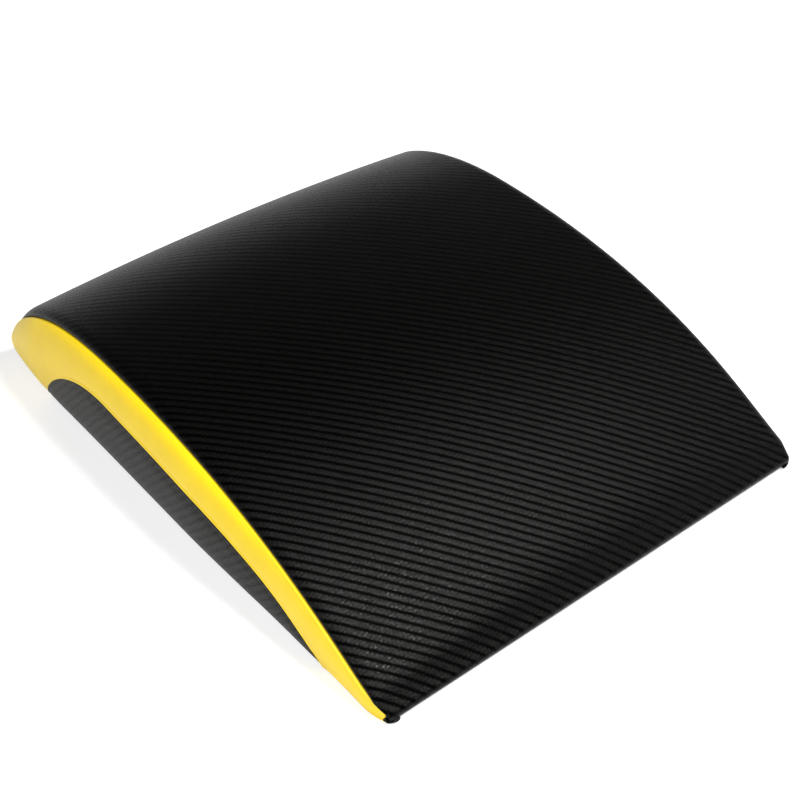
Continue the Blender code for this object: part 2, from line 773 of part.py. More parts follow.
def pull_tab(slider, collection, cutters, finish):
    """The tab, whose crossbar turns under the slider's bridge about the object's own Y."""
    body = as_mesh(flat_outline("zip_pull_tab", tab_outline(), TAB_THICKNESS / 2), "zip_pull_tab")
    body.parent = slider
    body.location = (0.0, 0.0, BAR_HEIGHT)
    link(body, collection, finish)
    hole = tab_window()
    keep_as_tool(hole, cutters, body)
    cut(body, hole, "DIFFERENCE")
    return body


def build():
    clear_scene()
    scene = bpy.context.scene.collection
    mat = new_collection("ab_mat", scene)
    cutters = new_collection("cutters", scene)
    black = material("black_carbon_vinyl", BLACK_CARBON)
    grey = material("grey_carbon_vinyl", GREY_CARBON)
    yellow = material("yellow_vinyl", YELLOW_VINYL)
    base = material("base_vinyl", BASE_VINYL)
    tape = material("zip_tape_fabric", TAPE_FABRIC)
    plastic = material("moulded_black", MOULDED_BLACK)
    metal = material("black_metal", BLACK_METAL)
    foam_core(mat, material("grey_foam", FOAM))
    top_panel(mat, black)
    base_panel(mat, base)
    side_panels(mat, cutters, yellow, grey)
    line = zip_line(mat)
    zip_tape("zip_tape_upper", -1, line, mat, tape)
    zip_tape("zip_tape_lower", 1, line, mat, tape)
    tooth_row("zip_teeth_upper", -1, 0.0, line, mat, plastic)
    tooth_row("zip_teeth_lower", 1, TOOTH_SHIFT_SHARE, line, mat, plastic)
    zip_stops(line, mat, plastic)
    slider = zip_slider(line, mat, cutters, metal)
    pull_tab(slider, mat, cutters, metal)


build()
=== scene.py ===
import math

import bmesh
import bpy
import numpy as np
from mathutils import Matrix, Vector


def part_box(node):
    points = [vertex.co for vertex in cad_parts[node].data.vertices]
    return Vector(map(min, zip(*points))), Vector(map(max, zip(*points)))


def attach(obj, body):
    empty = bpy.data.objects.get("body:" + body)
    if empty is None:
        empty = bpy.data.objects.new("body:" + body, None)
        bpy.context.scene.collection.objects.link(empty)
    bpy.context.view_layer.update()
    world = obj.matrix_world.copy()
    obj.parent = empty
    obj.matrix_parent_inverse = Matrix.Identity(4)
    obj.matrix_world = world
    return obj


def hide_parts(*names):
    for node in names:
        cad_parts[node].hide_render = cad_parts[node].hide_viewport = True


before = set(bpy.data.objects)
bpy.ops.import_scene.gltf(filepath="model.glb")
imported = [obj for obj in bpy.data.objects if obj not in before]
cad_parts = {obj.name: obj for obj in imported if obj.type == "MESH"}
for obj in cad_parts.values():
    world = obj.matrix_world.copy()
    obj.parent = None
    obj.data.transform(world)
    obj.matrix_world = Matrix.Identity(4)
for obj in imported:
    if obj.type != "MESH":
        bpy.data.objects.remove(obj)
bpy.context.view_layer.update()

# Foam: one block of open-cell foam, cut to the wedge and pushed into the cover through the zip.
# It is a little too large for the cover, so that it holds the vinyl tight. None of it shows,
# but the cover takes its side outline, so that outline is drawn here: y along the mat, z up.

MAT_LENGTH = 0.370
SEAM_WIDTH = 0.2907
CREST_HEIGHT, CREST_SHARE = 0.0680, 0.662
FRONT_Y, BACK_Y = -MAT_LENGTH / 2, MAT_LENGTH / 2
LIP_TOP, LIP_SEAM = 0.0060, 0.0006
LIP_RISE = math.radians(15.2)
LIP_RADIUS = (LIP_TOP - LIP_SEAM) / (1 + math.cos(LIP_RISE))
LIP_TURN_UNDER = 0.0015
FOOT_HEIGHT = 0.0113
HEEL_LENGTH, TOE_LENGTH = 0.0733, 0.024
FRONT_HANDLES, BACK_HANDLES = (0.088, 0.4305), (0.778, 0.155)
TOE_HANDLE, HEEL_HANDLES = 0.35, (0.21, 0.36)
SIDE_LIFT = 0.0015
FRONT_FLARE = 0.0023
CORNER_DRAW, CORNER_LENGTH = 0.0030, 0.018
SIDE_BULGE, FULL_BULGE_HEIGHT = 0.0096, 0.050
LOWER_FULLNESS, UPPER_FULLNESS, BULGE_FADE = 2.5, 1.8, 0.7
FRONT_BULGE, BULGE_START, BULGE_RISE = 0.57, 0.19 * MAT_LENGTH, 0.100
TIP_BULGE, TIP_LENGTH = 0.15, 0.020
CROWN = 0.0048
ROLL_HEIGHT, ROLL_WIDTH = 0.0052, 0.0066
PUFF_START, ROLL_FADE, CROWN_FADE, BACK_FADE = 0.0032, 0.0205, 0.037, 0.0395
ZIP_LOW, ZIP_HIGH = 0.0138, 0.0250
STEEP_POINTS = 90
SKIN = 0.0008
FOAM_SLACK = 0.0013
FOAM_HEM_SLACK, FOAM_HEM_START, FOAM_HEM_EASE = 0.0016, 0.014, 0.006
FOAM_NOTCH = 0.0034
FOAM_ROLL, FOAM_BELLY = 0.85, 0.94
FOAM_CREASE = 50
FOAM_DARK, FOAM_LIGHT = (0.13, 0.135, 0.15, 1), (0.25, 0.26, 0.28, 1)
CELLS_PER_METRE, CELL_DEPTH = 900.0, 0.0005


def bent_line(points, steps):
    """A cubic curve through its first and last points, with the two between them as handles."""
    t = np.linspace(0, 1, steps + 1)[:, None]
    a, b, c, d = (np.array(p, float) for p in points)
    return a * (1 - t) ** 3 + 3 * b * (1 - t) ** 2 * t + 3 * c * (1 - t) * t**2 + d * t**3


def ease(x):
    x = np.clip(x, 0, 1)
    return x * x * (3 - 2 * x)


def runs_along(line):
    return np.concatenate([[0], np.cumsum(np.linalg.norm(np.diff(line, axis=0), axis=1))])


def line_at(line, run):
    """Points at some distances along a line, and the line's heading there."""
    runs = runs_along(line)
    heading = np.gradient(line, runs, axis=0)
    point = np.stack([np.interp(run, runs, line[:, k]) for k in (0, 1)], -1)
    way = np.stack([np.interp(run, runs, heading[:, k]) for k in (0, 1)], -1)
    return point, way / np.linalg.norm(way, axis=-1, keepdims=True)


crest = (FRONT_Y + CREST_SHARE * MAT_LENGTH, CREST_HEIGHT)
foot = (BACK_Y, FOOT_HEIGHT)
lip_turn = np.linspace(-math.pi / 2, LIP_RISE - 1.5 * math.pi, 33)[:, None]
lip_middle = np.array([FRONT_Y + LIP_RADIUS, LIP_SEAM + LIP_RADIUS])
lip = lip_middle + LIP_RADIUS * np.hstack([np.cos(lip_turn), np.sin(lip_turn)])
lip_nose = int(np.argmin(lip[:, 0]))
lip_way = np.array([math.cos(LIP_RISE), math.sin(LIP_RISE)])
FRONT_SEAM_Y = FRONT_Y + LIP_RADIUS + LIP_TURN_UNDER
front_slope = bent_line(
    (
        lip[-1],
        lip[-1] + FRONT_HANDLES[0] * MAT_LENGTH * lip_way,
        (crest[0] - FRONT_HANDLES[1] * MAT_LENGTH, crest[1]),
        crest,
    ),
    160,
)
back_slope = bent_line(
    (
        crest,
        (crest[0] + BACK_HANDLES[0] * (foot[0] - crest[0]), crest[1]),
        (foot[0], foot[1] + BACK_HANDLES[1] * (crest[1] - foot[1])),
        foot,
    ),
    120,
)
TOP_LINE = np.vstack([[(FRONT_SEAM_Y, LIP_SEAM)], lip, front_slope[1:], back_slope[1:]])
TOP_EDGE = np.vstack([lip[lip_nose:], front_slope[1:], back_slope[1:]])
toe_start = (FRONT_Y + TOE_LENGTH, 0.0)
toe_level = TOE_HANDLE * (toe_start[0] - FRONT_SEAM_Y)
toe = bent_line(
    (
        (FRONT_SEAM_Y, LIP_SEAM),
        (FRONT_SEAM_Y + toe_level, LIP_SEAM),
        (toe_start[0] - toe_level, 0.0),
        toe_start,
    ),
    24,
)
heel = bent_line(
    (
        (BACK_Y - HEEL_LENGTH, 0.0),
        (BACK_Y - HEEL_LENGTH + HEEL_HANDLES[0] * HEEL_LENGTH, 0.0),
        (foot[0], foot[1] - HEEL_HANDLES[1] * foot[1]),
        foot,
    ),
    60,
)
BASE_LINE = np.vstack([toe, heel])
BASE_EDGE = np.vstack([lip[lip_nose:0:-1], [lip[0]], BASE_LINE])
steep = TOP_LINE[::-1][:STEEP_POINTS]
zip_high_y = np.interp(ZIP_HIGH, steep[:, 1], steep[:, 0])
zip_low_y = np.interp(ZIP_LOW, steep[:, 1], steep[:, 0])
ZIP_RUN = runs_along(TOP_LINE)[-1] - np.interp(ZIP_HIGH, steep[:, 1], runs_along(steep))


def top_at(y):
    return np.interp(y, TOP_EDGE[:, 0], TOP_EDGE[:, 1])


def base_at(y):
    return np.interp(y, BASE_EDGE[:, 0], BASE_EDGE[:, 1])


def side_base_at(y):
    """The seam between the base and a side, lifted a little from the floor along the flat."""
    lifted = ease((y - FRONT_SEAM_Y) / TOE_LENGTH)
    return base_at(y) + SIDE_LIFT * lifted * ease((BACK_Y - y) / HEEL_LENGTH)


def half_width_at(y):
    """Half the width between the side seams: it grows forward from the heel, but for the corners."""
    forward = np.clip((BACK_Y - HEEL_LENGTH - y) / (MAT_LENGTH - HEEL_LENGTH), 0, 1)
    drawn = 1 - np.clip((y - FRONT_Y) / CORNER_LENGTH, 0, 1)
    return SEAM_WIDTH / 2 + FRONT_FLARE * forward - CORNER_DRAW * drawn**2


def bulge_at(y, share_up):
    """How far a side stands out from its seams: rounder above its middle, and less at the front."""
    height = np.maximum(top_at(y) - side_base_at(y), 0)
    power = np.where(share_up < 0.5, LOWER_FULLNESS, UPPER_FULLNESS)
    belly = np.maximum(1 - np.abs(2 * share_up - 1) ** power, 0) ** (1 / power)
    held = FRONT_BULGE + (1 - FRONT_BULGE) * ease((y - FRONT_Y - BULGE_START) / BULGE_RISE)
    held = held * (TIP_BULGE + (1 - TIP_BULGE) * ease((y - FRONT_Y) / TIP_LENGTH))
    return SIDE_BULGE * held * belly * np.minimum(1, height / FULL_BULGE_HEIGHT) ** BULGE_FADE


def fade_at(run):
    """How much of its roll and of its crown the top keeps, between the front lip and the zip."""
    back = ease((ZIP_RUN - run) / BACK_FADE)
    return back * ease((run - PUFF_START) / ROLL_FADE), back * ease((run - PUFF_START) / CROWN_FADE)


def foam_ring(run):
    """One section of the foam, as a closed ring of points, at a distance along the top."""
    (y, z), (along_y, along_z) = (v[0] for v in line_at(TOP_LINE, np.array([run])))
    up = np.array([0.0, -along_z, along_y])
    slack = FOAM_SLACK + FOAM_HEM_SLACK * ease((run - ZIP_RUN + FOAM_HEM_START) / FOAM_HEM_EASE)
    y, z = y + along_z * slack, z - along_y * slack
    half = half_width_at(y) - FOAM_SLACK
    floor = side_base_at(y) + FOAM_SLACK
    height = z - floor
    notch = min(FOAM_NOTCH, 0.2 * height)
    rolled, crowned = fade_at(run)
    ring = []
    for x in np.linspace(-1, 1, 33) * (half - ROLL_WIDTH / 2):
        puff = FOAM_ROLL * rolled * ROLL_HEIGHT + crowned * CROWN * (1 - (x / half) ** 2)
        ring.append(np.array([x, y, z]) + up * puff)
    ring.append(np.array([half, y, z]) - up * notch)
    shares = np.linspace(0.88, 0.12, 9)
    side = [(half + bulge_at(y, s) * FOAM_BELLY, y, floor + s * height) for s in shares]
    ring += side + [(half, y, floor + notch)]
    ring += [(x, y, base_at(y) + FOAM_SLACK) for x in np.linspace(1, -1, 9) * (half - ROLL_WIDTH)]
    ring += [(-half, y, floor + notch)] + [(-x, b, c) for x, b, c in side[::-1]]
    ring.append(np.array([-half, y, z]) - up * notch)
    return ring


def placed(name, data):
    """A new object in the scene."""
    obj = bpy.data.objects.new(name, data)
    bpy.context.scene.collection.objects.link(obj)
    return obj


def closed_mesh(name, rings):
    """A solid through rings of points, with flat ends."""
    mesh = bpy.data.meshes.new(name)
    bm = bmesh.new()
    made = [[bm.verts.new(p) for p in ring] for ring in rings]
    count = len(made[0])
    for a, b in zip(made, made[1:]):
        for k in range(count):
            bm.faces.new((a[k], a[(k + 1) % count], b[(k + 1) % count], b[k]))
    bm.faces.new(made[0])
    bm.faces.new(made[-1])
    bmesh.ops.recalc_face_normals(bm, faces=bm.faces)
    bm.to_mesh(mesh)
    bm.free()
    return placed(name, mesh)


def shaded(mesh, crease):
    """Smooth shading, but for the edges that turn by more than the crease, in degrees."""
    mesh.shade_smooth()
    mesh.set_sharp_from_angle(angle=math.radians(crease))


def finish(name, values):
    """A material whose plain values are set on the shader's own sockets."""
    made = bpy.data.materials.new(name)
    made.use_nodes = True
    shader = made.node_tree.nodes["Principled BSDF"]
    for socket, value in values.items():
        shader.inputs[socket].default_value = value
    return made


def node(tree, kind, inputs=(), **settings):
    """A node with its settings and inputs; an input is a value or another node's socket."""
    made = tree.nodes.new(kind)
    for key, value in settings.items():
        setattr(made, key, value)
    for socket, value in dict(inputs).items():
        if isinstance(value, bpy.types.NodeSocket):
            tree.links.new(value, made.inputs[socket])
        else:
            made.inputs[socket].default_value = value
    return made


def maths(tree, operation, *values):
    return node(tree, "ShaderNodeMath", enumerate(values), operation=operation).outputs[0]


def blended(tree, share, low, high):
    """A colour between two others."""
    mix = node(tree, "ShaderNodeMix", {0: share, 6: low, 7: high}, data_type="RGBA")
    return mix.outputs[2]


def link_to(made, socket, source):
    shader = made.node_tree.nodes["Principled BSDF"]
    made.node_tree.links.new(source, shader.inputs[socket])


def raised(made, height, depth):
    """Relief from a height between 0 and 1, as deep as depth."""
    tree = made.node_tree
    bump = node(tree, "ShaderNodeBump", {"Height": height, "Strength": 1.0, "Distance": depth})
    link_to(made, "Normal", bump.outputs["Normal"])


foam_cells = finish("foam_cells", {"Roughness": 0.95, "Specular IOR Level": 0.2})
tree = foam_cells.node_tree
place = node(tree, "ShaderNodeTexCoord").outputs["Object"]
cells = node(tree, "ShaderNodeTexVoronoi", {"Vector": place, "Scale": CELLS_PER_METRE})
tone = blended(tree, cells.outputs["Distance"], FOAM_DARK, FOAM_LIGHT)
link_to(foam_cells, "Base Color", tone)
raised(foam_cells, cells.outputs["Distance"], CELL_DEPTH)

foam_runs = np.concatenate([np.linspace(0.016, 0.36, 58), np.linspace(0.362, ZIP_RUN - 0.001, 18)])
foam = closed_mesh("foam_block", [foam_ring(run) for run in foam_runs])
shaded(foam.data, FOAM_CREASE)
foam.data.materials.append(foam_cells)
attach(foam, "cover")
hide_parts("foam_core")

# Top: one panel of black vinyl on a cloth backing, its face embossed like a two-and-two twill.
# It runs from the seam under the front lip over the crest to the zip, and is sewn to both sides
# with its allowance turned in. The foam holds it up in a soft roll beside each seam.

FOLD, TUCK = 0.0011, 0.0012
SEAM_GAP = 0.00015
LIP_FOLD, LIP_TUCK = 0.0007, 0.0003
OVERHANG = math.radians(32)
FLAT_ROLL = 0.3
CORNER_WRAP, WRAP_LENGTH = 0.0027, 0.016
HEM = 0.0045
YARN, WEAVE_DEPTH = 0.0016, 0.00011
RIB_STEP = 0.4
GRAINS_PER_METRE, MOTTLES_PER_METRE = 800.0, 26.0
# Painted shade: the furrow colours are darker than the rib colours, and the furrow tint dims the reflection
# in the furrows.
FURROW_SHADE_TINT, RIB_TINT = (0.04, 0.04, 0.04, 1), (1.0, 0.98, 0.94, 1)
BLACK_FURROW_SHADE, BLACK_RIB = (0.0003, 0.0003, 0.0003, 1), (0.0020, 0.0019, 0.0017, 1)
BLACK_ROUGHNESS = (0.42, 0.31)


def turned_in(seam, way, inward, radius, degrees, reach, steps=4):
    """Points from a panel's face round a fold at its seam, then on into the seam."""
    seam, way, inward = (np.array(v, float) for v in (seam, way, inward))
    middle = seam - way * radius + inward * radius
    turns = np.radians(np.linspace(0, degrees, steps + 1))
    points = [middle + radius * (way * math.sin(a) - inward * math.cos(a)) for a in turns]
    last = way * math.cos(turns[-1]) + inward * math.sin(turns[-1])
    return points + [points[-1] + last * reach]


def lay_out(mesh, flat):
    """Gives a mesh the UV map "cut": where each of its points lies on the flat cloth, in metres."""
    layer = mesh.uv_layers.new(name="cut")
    corner = np.zeros(len(mesh.loops), np.int32)
    mesh.loops.foreach_get("vertex_index", corner)
    layer.data.foreach_set("uv", np.asarray(flat)[corner].astype(np.float32).ravel())


def panel(name, points, cut, flip=False):
    """A sheet through rows of points. Its pattern piece, flat and in metres, is its UV map."""
    rows, columns = points.shape[:2]
    mesh = bpy.data.meshes.new(name)
    quads = []
    for i in range(rows - 1):
        for j in range(columns - 1):
            a = i * columns + j
            corners = (a, a + 1, a + columns + 1, a + columns)
            quads.append(corners[::-1] if flip else corners)
    mesh.from_pydata(points.reshape(-1, 3).tolist(), [], quads)
    lay_out(mesh, cut.reshape(-1, 2))
    mesh.shade_smooth()
    return placed(name, mesh)


def smoothed(obj):
    smooth = obj.modifiers.new("smooth", "SUBSURF")
    smooth.levels = smooth.render_levels = 1


def sewn(obj, material, node_name):
    """Gives a panel its smooth face, thickness, finish and place in the cover."""
    smoothed(obj)
    wall = obj.modifiers.new("wall", "SOLIDIFY")
    wall.thickness = SKIN
    wall.offset = -1
    obj.data.materials.append(material)
    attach(obj, "cover")
    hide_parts(node_name)


def path_with_ends(line, face_runs, before, after):
    """Rows of a panel: points on its line, with a fold before them and one after, and their heading."""
    outline = np.array([*before[:0:-1], *line_at(line, face_runs)[0], *after[1:]])
    heading = np.gradient(outline, runs_along(outline), axis=0)
    return outline, heading / np.linalg.norm(heading, axis=1, keepdims=True)


def cut_runs(face_runs, length):
    """How far along the flat cloth each row of a panel lies, with the rows of its folded ends."""
    before = LIP_FOLD - np.linspace(0.0014, 0.0002, 5)
    after = length - SKIN + np.linspace(0.0006, 0.0070, 5)
    return np.concatenate([before, face_runs, after])


lip_seam_fold = turned_in((FRONT_SEAM_Y, LIP_SEAM), (1, 0), (0, 1), LIP_FOLD, 90, LIP_TUCK)
(hem_point,), (hem_way,) = line_at(TOP_LINE, np.array([ZIP_RUN]))
hem_fold = turned_in(hem_point, hem_way, (hem_way[1], -hem_way[0]), SKIN, 180, HEM)
top_runs = np.concatenate(
    [
        np.linspace(LIP_FOLD, 0.0095, 12),
        np.linspace(0.0108, 0.0200, 6),
        np.linspace(0.0233, ZIP_RUN - 0.006, 108),
        np.linspace(ZIP_RUN - 0.0045, ZIP_RUN - SKIN, 4),
    ]
)
top_path, top_way = path_with_ends(TOP_LINE, top_runs, lip_seam_fold, hem_fold)
roll_turn = np.linspace(-OVERHANG, math.pi / 2, 10)
middle_shares = np.linspace(-1, 1, 66)[1:-1]

top_points, top_cut = [], []
for (y, z), (way_y, way_z), run in zip(top_path, top_way, cut_runs(top_runs, ZIP_RUN)):
    wrap = CORNER_WRAP * float(ease((FRONT_Y + WRAP_LENGTH - y) / WRAP_LENGTH))
    if y < FRONT_Y + LIP_RADIUS:
        wrap = min(wrap, LIP_RADIUS - FOLD)
    over = (SKIN + SEAM_GAP) * min(1.0, wrap / SKIN) - SEAM_GAP
    half = half_width_at(y) + over
    rolled, crowned = fade_at(run) if 0 < run < ZIP_RUN else (0.0, 0.0)
    lift = rolled * ROLL_HEIGHT
    roll = max(lift, FOLD) / (1 + math.sin(OVERHANG))
    width = ROLL_WIDTH * (FLAT_ROLL + (1 - FLAT_ROLL) * rolled)
    edge_x = half - width * (math.cos(OVERHANG) - np.cos(roll_turn))
    edge_off = lift + roll * (np.sin(roll_turn) - 1)
    hem_off = edge_off[0] - (TUCK * (1 - wrap / CORNER_WRAP) + wrap) * np.array([1.0, 0.5])
    hem_half = half_width_at(y - way_z * hem_off) + over if wrap > 0 else half
    edge_x = np.concatenate([hem_half * np.ones(2), edge_x])
    edge_off = np.concatenate([hem_off, edge_off])
    inner = edge_x[-1]
    edge_cut = inner + runs_along(np.stack([edge_x, edge_off], -1)[::-1])[::-1]
    x = np.concatenate([-edge_x, middle_shares * inner, edge_x[::-1]])
    off = np.concatenate([edge_off, np.full(len(middle_shares), lift), edge_off[::-1]])
    off = off + crowned * CROWN * (1 - (x / half) ** 2)
    top_points.append(np.stack([x, y - way_z * off, z + way_y * off], -1))
    across = np.concatenate([-edge_cut, middle_shares * inner, edge_cut[::-1]])
    top_cut.append(np.stack([across, np.full(len(x), run)], -1))


def noise(tree, place, scale, detail, roughness=0.5):
    values = {"Vector": place, "Scale": scale, "Detail": detail, "Roughness": roughness}
    return node(tree, "ShaderNodeTexNoise", values).outputs[0]


def ramp(tree, value, low, high, start=0.0, end=1.0, **settings):
    """A value that goes from start to end while another goes from low to high."""
    inputs = {0: value, 1: low, 2: high, 3: start, 4: end}
    return node(tree, "ShaderNodeMapRange", inputs, **settings).outputs[0]


def effect(name, inputs, outputs):
    """A node group with named sockets, and its own input and output nodes."""
    group = bpy.data.node_groups.new(name, "ShaderNodeTree")
    for label, kind, value in inputs:
        socket = group.interface.new_socket(label, in_out="INPUT", socket_type=kind)
        if value is not None:
            socket.default_value = value
    for label, kind in outputs:
        group.interface.new_socket(label, in_out="OUTPUT", socket_type=kind)
    return group, group.nodes.new("NodeGroupInput"), group.nodes.new("NodeGroupOutput")


def twill_group():
    """Twill: floats two yarns long, one step further on in each row, so that they form slanted ribs.
    Rib is 1 on the crosswise floats and 0 in the furrows between them."""
    group, given, result = effect(
        "twill",
        [("Place", "NodeSocketVector", None), ("Yarn", "NodeSocketFloat", YARN)],
        [("Height", "NodeSocketFloat"), ("Rib", "NodeSocketFloat")],
    )
    apart = node(group, "ShaderNodeSeparateXYZ", {0: given.outputs["Place"]})
    u = maths(group, "DIVIDE", apart.outputs[0], given.outputs["Yarn"])
    v = maths(group, "DIVIDE", apart.outputs[1], given.outputs["Yarn"])
    even = maths(group, "ADD", u, v)
    whole = maths(group, "ADD", maths(group, "FLOOR", u), maths(group, "FLOOR", v))
    stepped = maths(group, "ADD", whole, 1.0)
    even_part = maths(group, "MULTIPLY", even, 1 - RIB_STEP)
    stepped_part = maths(group, "MULTIPLY", stepped, RIB_STEP)
    slant = maths(group, "ADD", even_part, stepped_part)
    phase = maths(group, "FRACT", maths(group, "MULTIPLY_ADD", slant, 0.25, 0.125))
    off = maths(group, "ABSOLUTE", maths(group, "MULTIPLY_ADD", phase, 2.0, -1.0))
    rib = ramp(group, off, 0.42, 0.80, 1.0, 0.0, interpolation_type="SMOOTHSTEP")
    over = maths(group, "MULTIPLY_ADD", maths(group, "FRACT", v), 2.0, -1.0)
    over = maths(group, "ABSOLUTE", over)
    yarn = maths(group, "SUBTRACT", 1.0, maths(group, "POWER", over, 2.5))
    crown = maths(group, "SUBTRACT", 1.0, maths(group, "POWER", off, 2.2))
    rib = maths(group, "MULTIPLY", rib, maths(group, "MULTIPLY_ADD", yarn, 0.45, 0.55))
    height = maths(group, "MULTIPLY", crown, maths(group, "MULTIPLY_ADD", yarn, 0.3, 0.7))
    group.links.new(height, result.inputs["Height"])
    group.links.new(rib, result.inputs["Rib"])
    return group


twill = twill_group()


def ribbed_vinyl(name, dark, light, rough):
    """Vinyl embossed with the twill. Its furrows are darker than its ribs in colour and in reflection, as
    painted shade in the furrows.
    """
    made = finish(name, {"Specular IOR Level": 0.15})
    tree = made.node_tree
    cut = node(tree, "ShaderNodeUVMap", uv_map="cut").outputs["UV"]
    weave = node(tree, "ShaderNodeGroup", {}, node_tree=twill)
    tree.links.new(cut, weave.inputs["Place"])
    weave.inputs["Yarn"].default_value = YARN
    rib = weave.outputs["Rib"]
    speck = ramp(tree, noise(tree, cut, GRAINS_PER_METRE, 4.0, 0.7), 0.40, 0.60)
    mottle = noise(tree, cut, MOTTLES_PER_METRE, 2.0)
    # Colour: the ribs lighter than the furrows is painted shade in the furrows; the speck and mottle on the
    # ribs are the vinyl's own tone.
    lit = maths(tree, "MULTIPLY", rib, maths(tree, "MULTIPLY_ADD", speck, 0.8, 0.4))
    lit = maths(tree, "MULTIPLY", lit, maths(tree, "MULTIPLY_ADD", mottle, 0.5, 0.75))
    link_to(made, "Base Color", blended(tree, lit, dark, light))
    # Reflection: dimmed in the furrows by the furrow tint, as painted shade, and speckled on the ribs.
    gloss = maths(tree, "MULTIPLY", rib, maths(tree, "MULTIPLY_ADD", speck, 0.6, 0.4))
    link_to(made, "Specular Tint", blended(tree, gloss, FURROW_SHADE_TINT, RIB_TINT))
    link_to(made, "Roughness", maths(tree, "MULTIPLY_ADD", speck, rough[1] - rough[0], rough[0]))
    height = maths(tree, "MULTIPLY_ADD", speck, 0.7, weave.outputs["Height"])
    raised(made, height, WEAVE_DEPTH)
    return made


black_vinyl = ribbed_vinyl("black_ribbed_vinyl", BLACK_FURROW_SHADE, BLACK_RIB, BLACK_ROUGHNESS)
top = panel("top_cover", np.array(top_points), np.array(top_cut))
sewn(top, black_vinyl, "top_panel")

# Base: the underside, a pebbled vinyl that grips the floor. It lies flat, curves up to the seams
# at both sides and at the front lip, and is carried up round the foot of the thick end to the zip.

BASE_ROLL = 0.009
BASE_LIFT_END = 0.004
PEBBLES_PER_METRE, PEBBLE_DEPTH = 620.0, 0.00035
BASE_DARK, BASE_LIGHT = (0.010, 0.010, 0.011, 1), (0.034, 0.034, 0.035, 1)

below_zip = steep[steep[:, 1] < ZIP_LOW]
base_line = np.vstack([BASE_LINE, below_zip[1:], [(zip_low_y, ZIP_LOW)]])
base_length = runs_along(base_line)[-1]
toe_seam = (FRONT_SEAM_Y + 2 * SEAM_GAP, LIP_SEAM)
toe_fold = turned_in(toe_seam, (-1, 0), (0, 1), LIP_FOLD, 90, LIP_TUCK)
(hem_point,), (hem_way,) = line_at(base_line, np.array([base_length]))
base_hem = turned_in(hem_point, hem_way, (-hem_way[1], hem_way[0]), SKIN, 180, HEM)
base_runs = np.concatenate(
    [
        np.linspace(LIP_FOLD + 2 * SEAM_GAP, 0.006, 4),
        np.linspace(0.0095, base_length - 0.018, 88),
        np.linspace(base_length - 0.016, base_length - SKIN, 10),
    ]
)
base_path, base_way = path_with_ends(base_line, base_runs, toe_fold, base_hem)
base_turn = np.radians(np.linspace(0, 90, 5))
base_slope = np.linspace(0, 1, 5)[1:]

base_points, base_cut = [], []
for (y, z), (way_y, way_z), run in zip(base_path, base_way, cut_runs(base_runs, base_length)):
    half = half_width_at(y) - SEAM_GAP
    lift = side_base_at(y) - base_at(y) if 0 < run < base_length - BASE_LIFT_END else 0.0
    fold_x = half - FOLD * (1 - np.cos(base_turn))
    fold_off = lift + FOLD * (1 - np.sin(base_turn))
    tuck_off = fold_off[0] + TUCK * np.array([1.0, 0.5])
    slope_x = half - FOLD - base_slope * (BASE_ROLL - FOLD)
    edge_x = np.concatenate([[half, half], fold_x, slope_x])
    edge_off = np.concatenate([tuck_off, fold_off, lift * (1 - ease(base_slope))])
    inner = np.linspace(-1, 1, 70)[1:-1] * (half - BASE_ROLL)
    x = np.concatenate([-edge_x, inner, edge_x[::-1]])
    off = np.concatenate([edge_off, np.zeros(len(inner)), edge_off[::-1]])
    base_points.append(np.stack([x, y - way_z * off, z + way_y * off], -1))
    base_cut.append(np.stack([x, np.full(len(x), run)], -1))

pebbled_vinyl = finish("pebbled_vinyl", {"Specular IOR Level": 0.4})
tree = pebbled_vinyl.node_tree
place = node(tree, "ShaderNodeUVMap", uv_map="cut").outputs["UV"]
pebbles = node(
    tree,
    "ShaderNodeTexVoronoi",
    {"Vector": place, "Scale": PEBBLES_PER_METRE, "Smoothness": 0.35},
    feature="SMOOTH_F1",
)
specks = noise(tree, place, 2600.0, 2.0)
dust = noise(tree, place, 18.0, 4.0)
domes = maths(tree, "SUBTRACT", 1.0, pebbles.outputs["Distance"])
shade = maths(tree, "MULTIPLY_ADD", dust, 0.7, maths(tree, "MULTIPLY", domes, 0.3))
link_to(pebbled_vinyl, "Base Color", blended(tree, shade, BASE_DARK, BASE_LIGHT))
link_to(pebbled_vinyl, "Roughness", maths(tree, "MULTIPLY_ADD", specks, 0.25, 0.5))
raised(pebbled_vinyl, maths(tree, "MULTIPLY_ADD", specks, 0.15, domes), PEBBLE_DEPTH)
base = panel("base_cover", np.array(base_points), np.array(base_cut), flip=True)
sewn(base, pebbled_vinyl, "base_panel")

# Sides: on each, a band of smooth yellow vinyl with a patch of the ribbed vinyl let into its lower
# edge. Both pieces are cut flat and puffed out by the foam, and every seam is closed face to face.

SIDES = ((-1, "left"), (1, "right"))
PATCH_FRONT, PATCH_BACK = FRONT_Y + 0.045, BACK_Y - 0.048
PATCH_HEIGHT, PATCH_CREST_SHARE = 0.0484, 0.29
PATCH_FRONT_HANDLES = ((0.73, 0.92), (0.37, 0.92))
PATCH_BACK_HANDLES = ((0.50, 1.0), (0.80, 0.58))
PATCH_FOLD, PATCH_EASE = 0.0009, 0.004
PATCH_LEAST_HEIGHT = 0.0004
PATCH_GROOVE, GROOVE_WIDTH, GROOVE_LEAST = 0.0004, 0.0030, 0.012
FOLD_SHARE, TIP_FOLD = 0.22, 0.12
TIP_SETBACK, HEEL_SETBACK = 0.0030, 0.00002
TIP_SINK, SINK_LENGTH = 0.0008, 0.0060
LEAST_SLANT = 0.45
YELLOW_DARK, YELLOW_LIGHT = (0.86, 0.59, 0.006, 1), (0.94, 0.68, 0.010, 1)
YELLOW_DEPTH = 0.00006
# Painted shade: the grey furrow colour is darker than the rib colour, as on the top.
GREY_FURROW_SHADE, GREY_RIB = (0.0006, 0.0006, 0.0006, 1), (0.010, 0.010, 0.0088, 1)
GREY_ROUGHNESS = (0.50, 0.40)

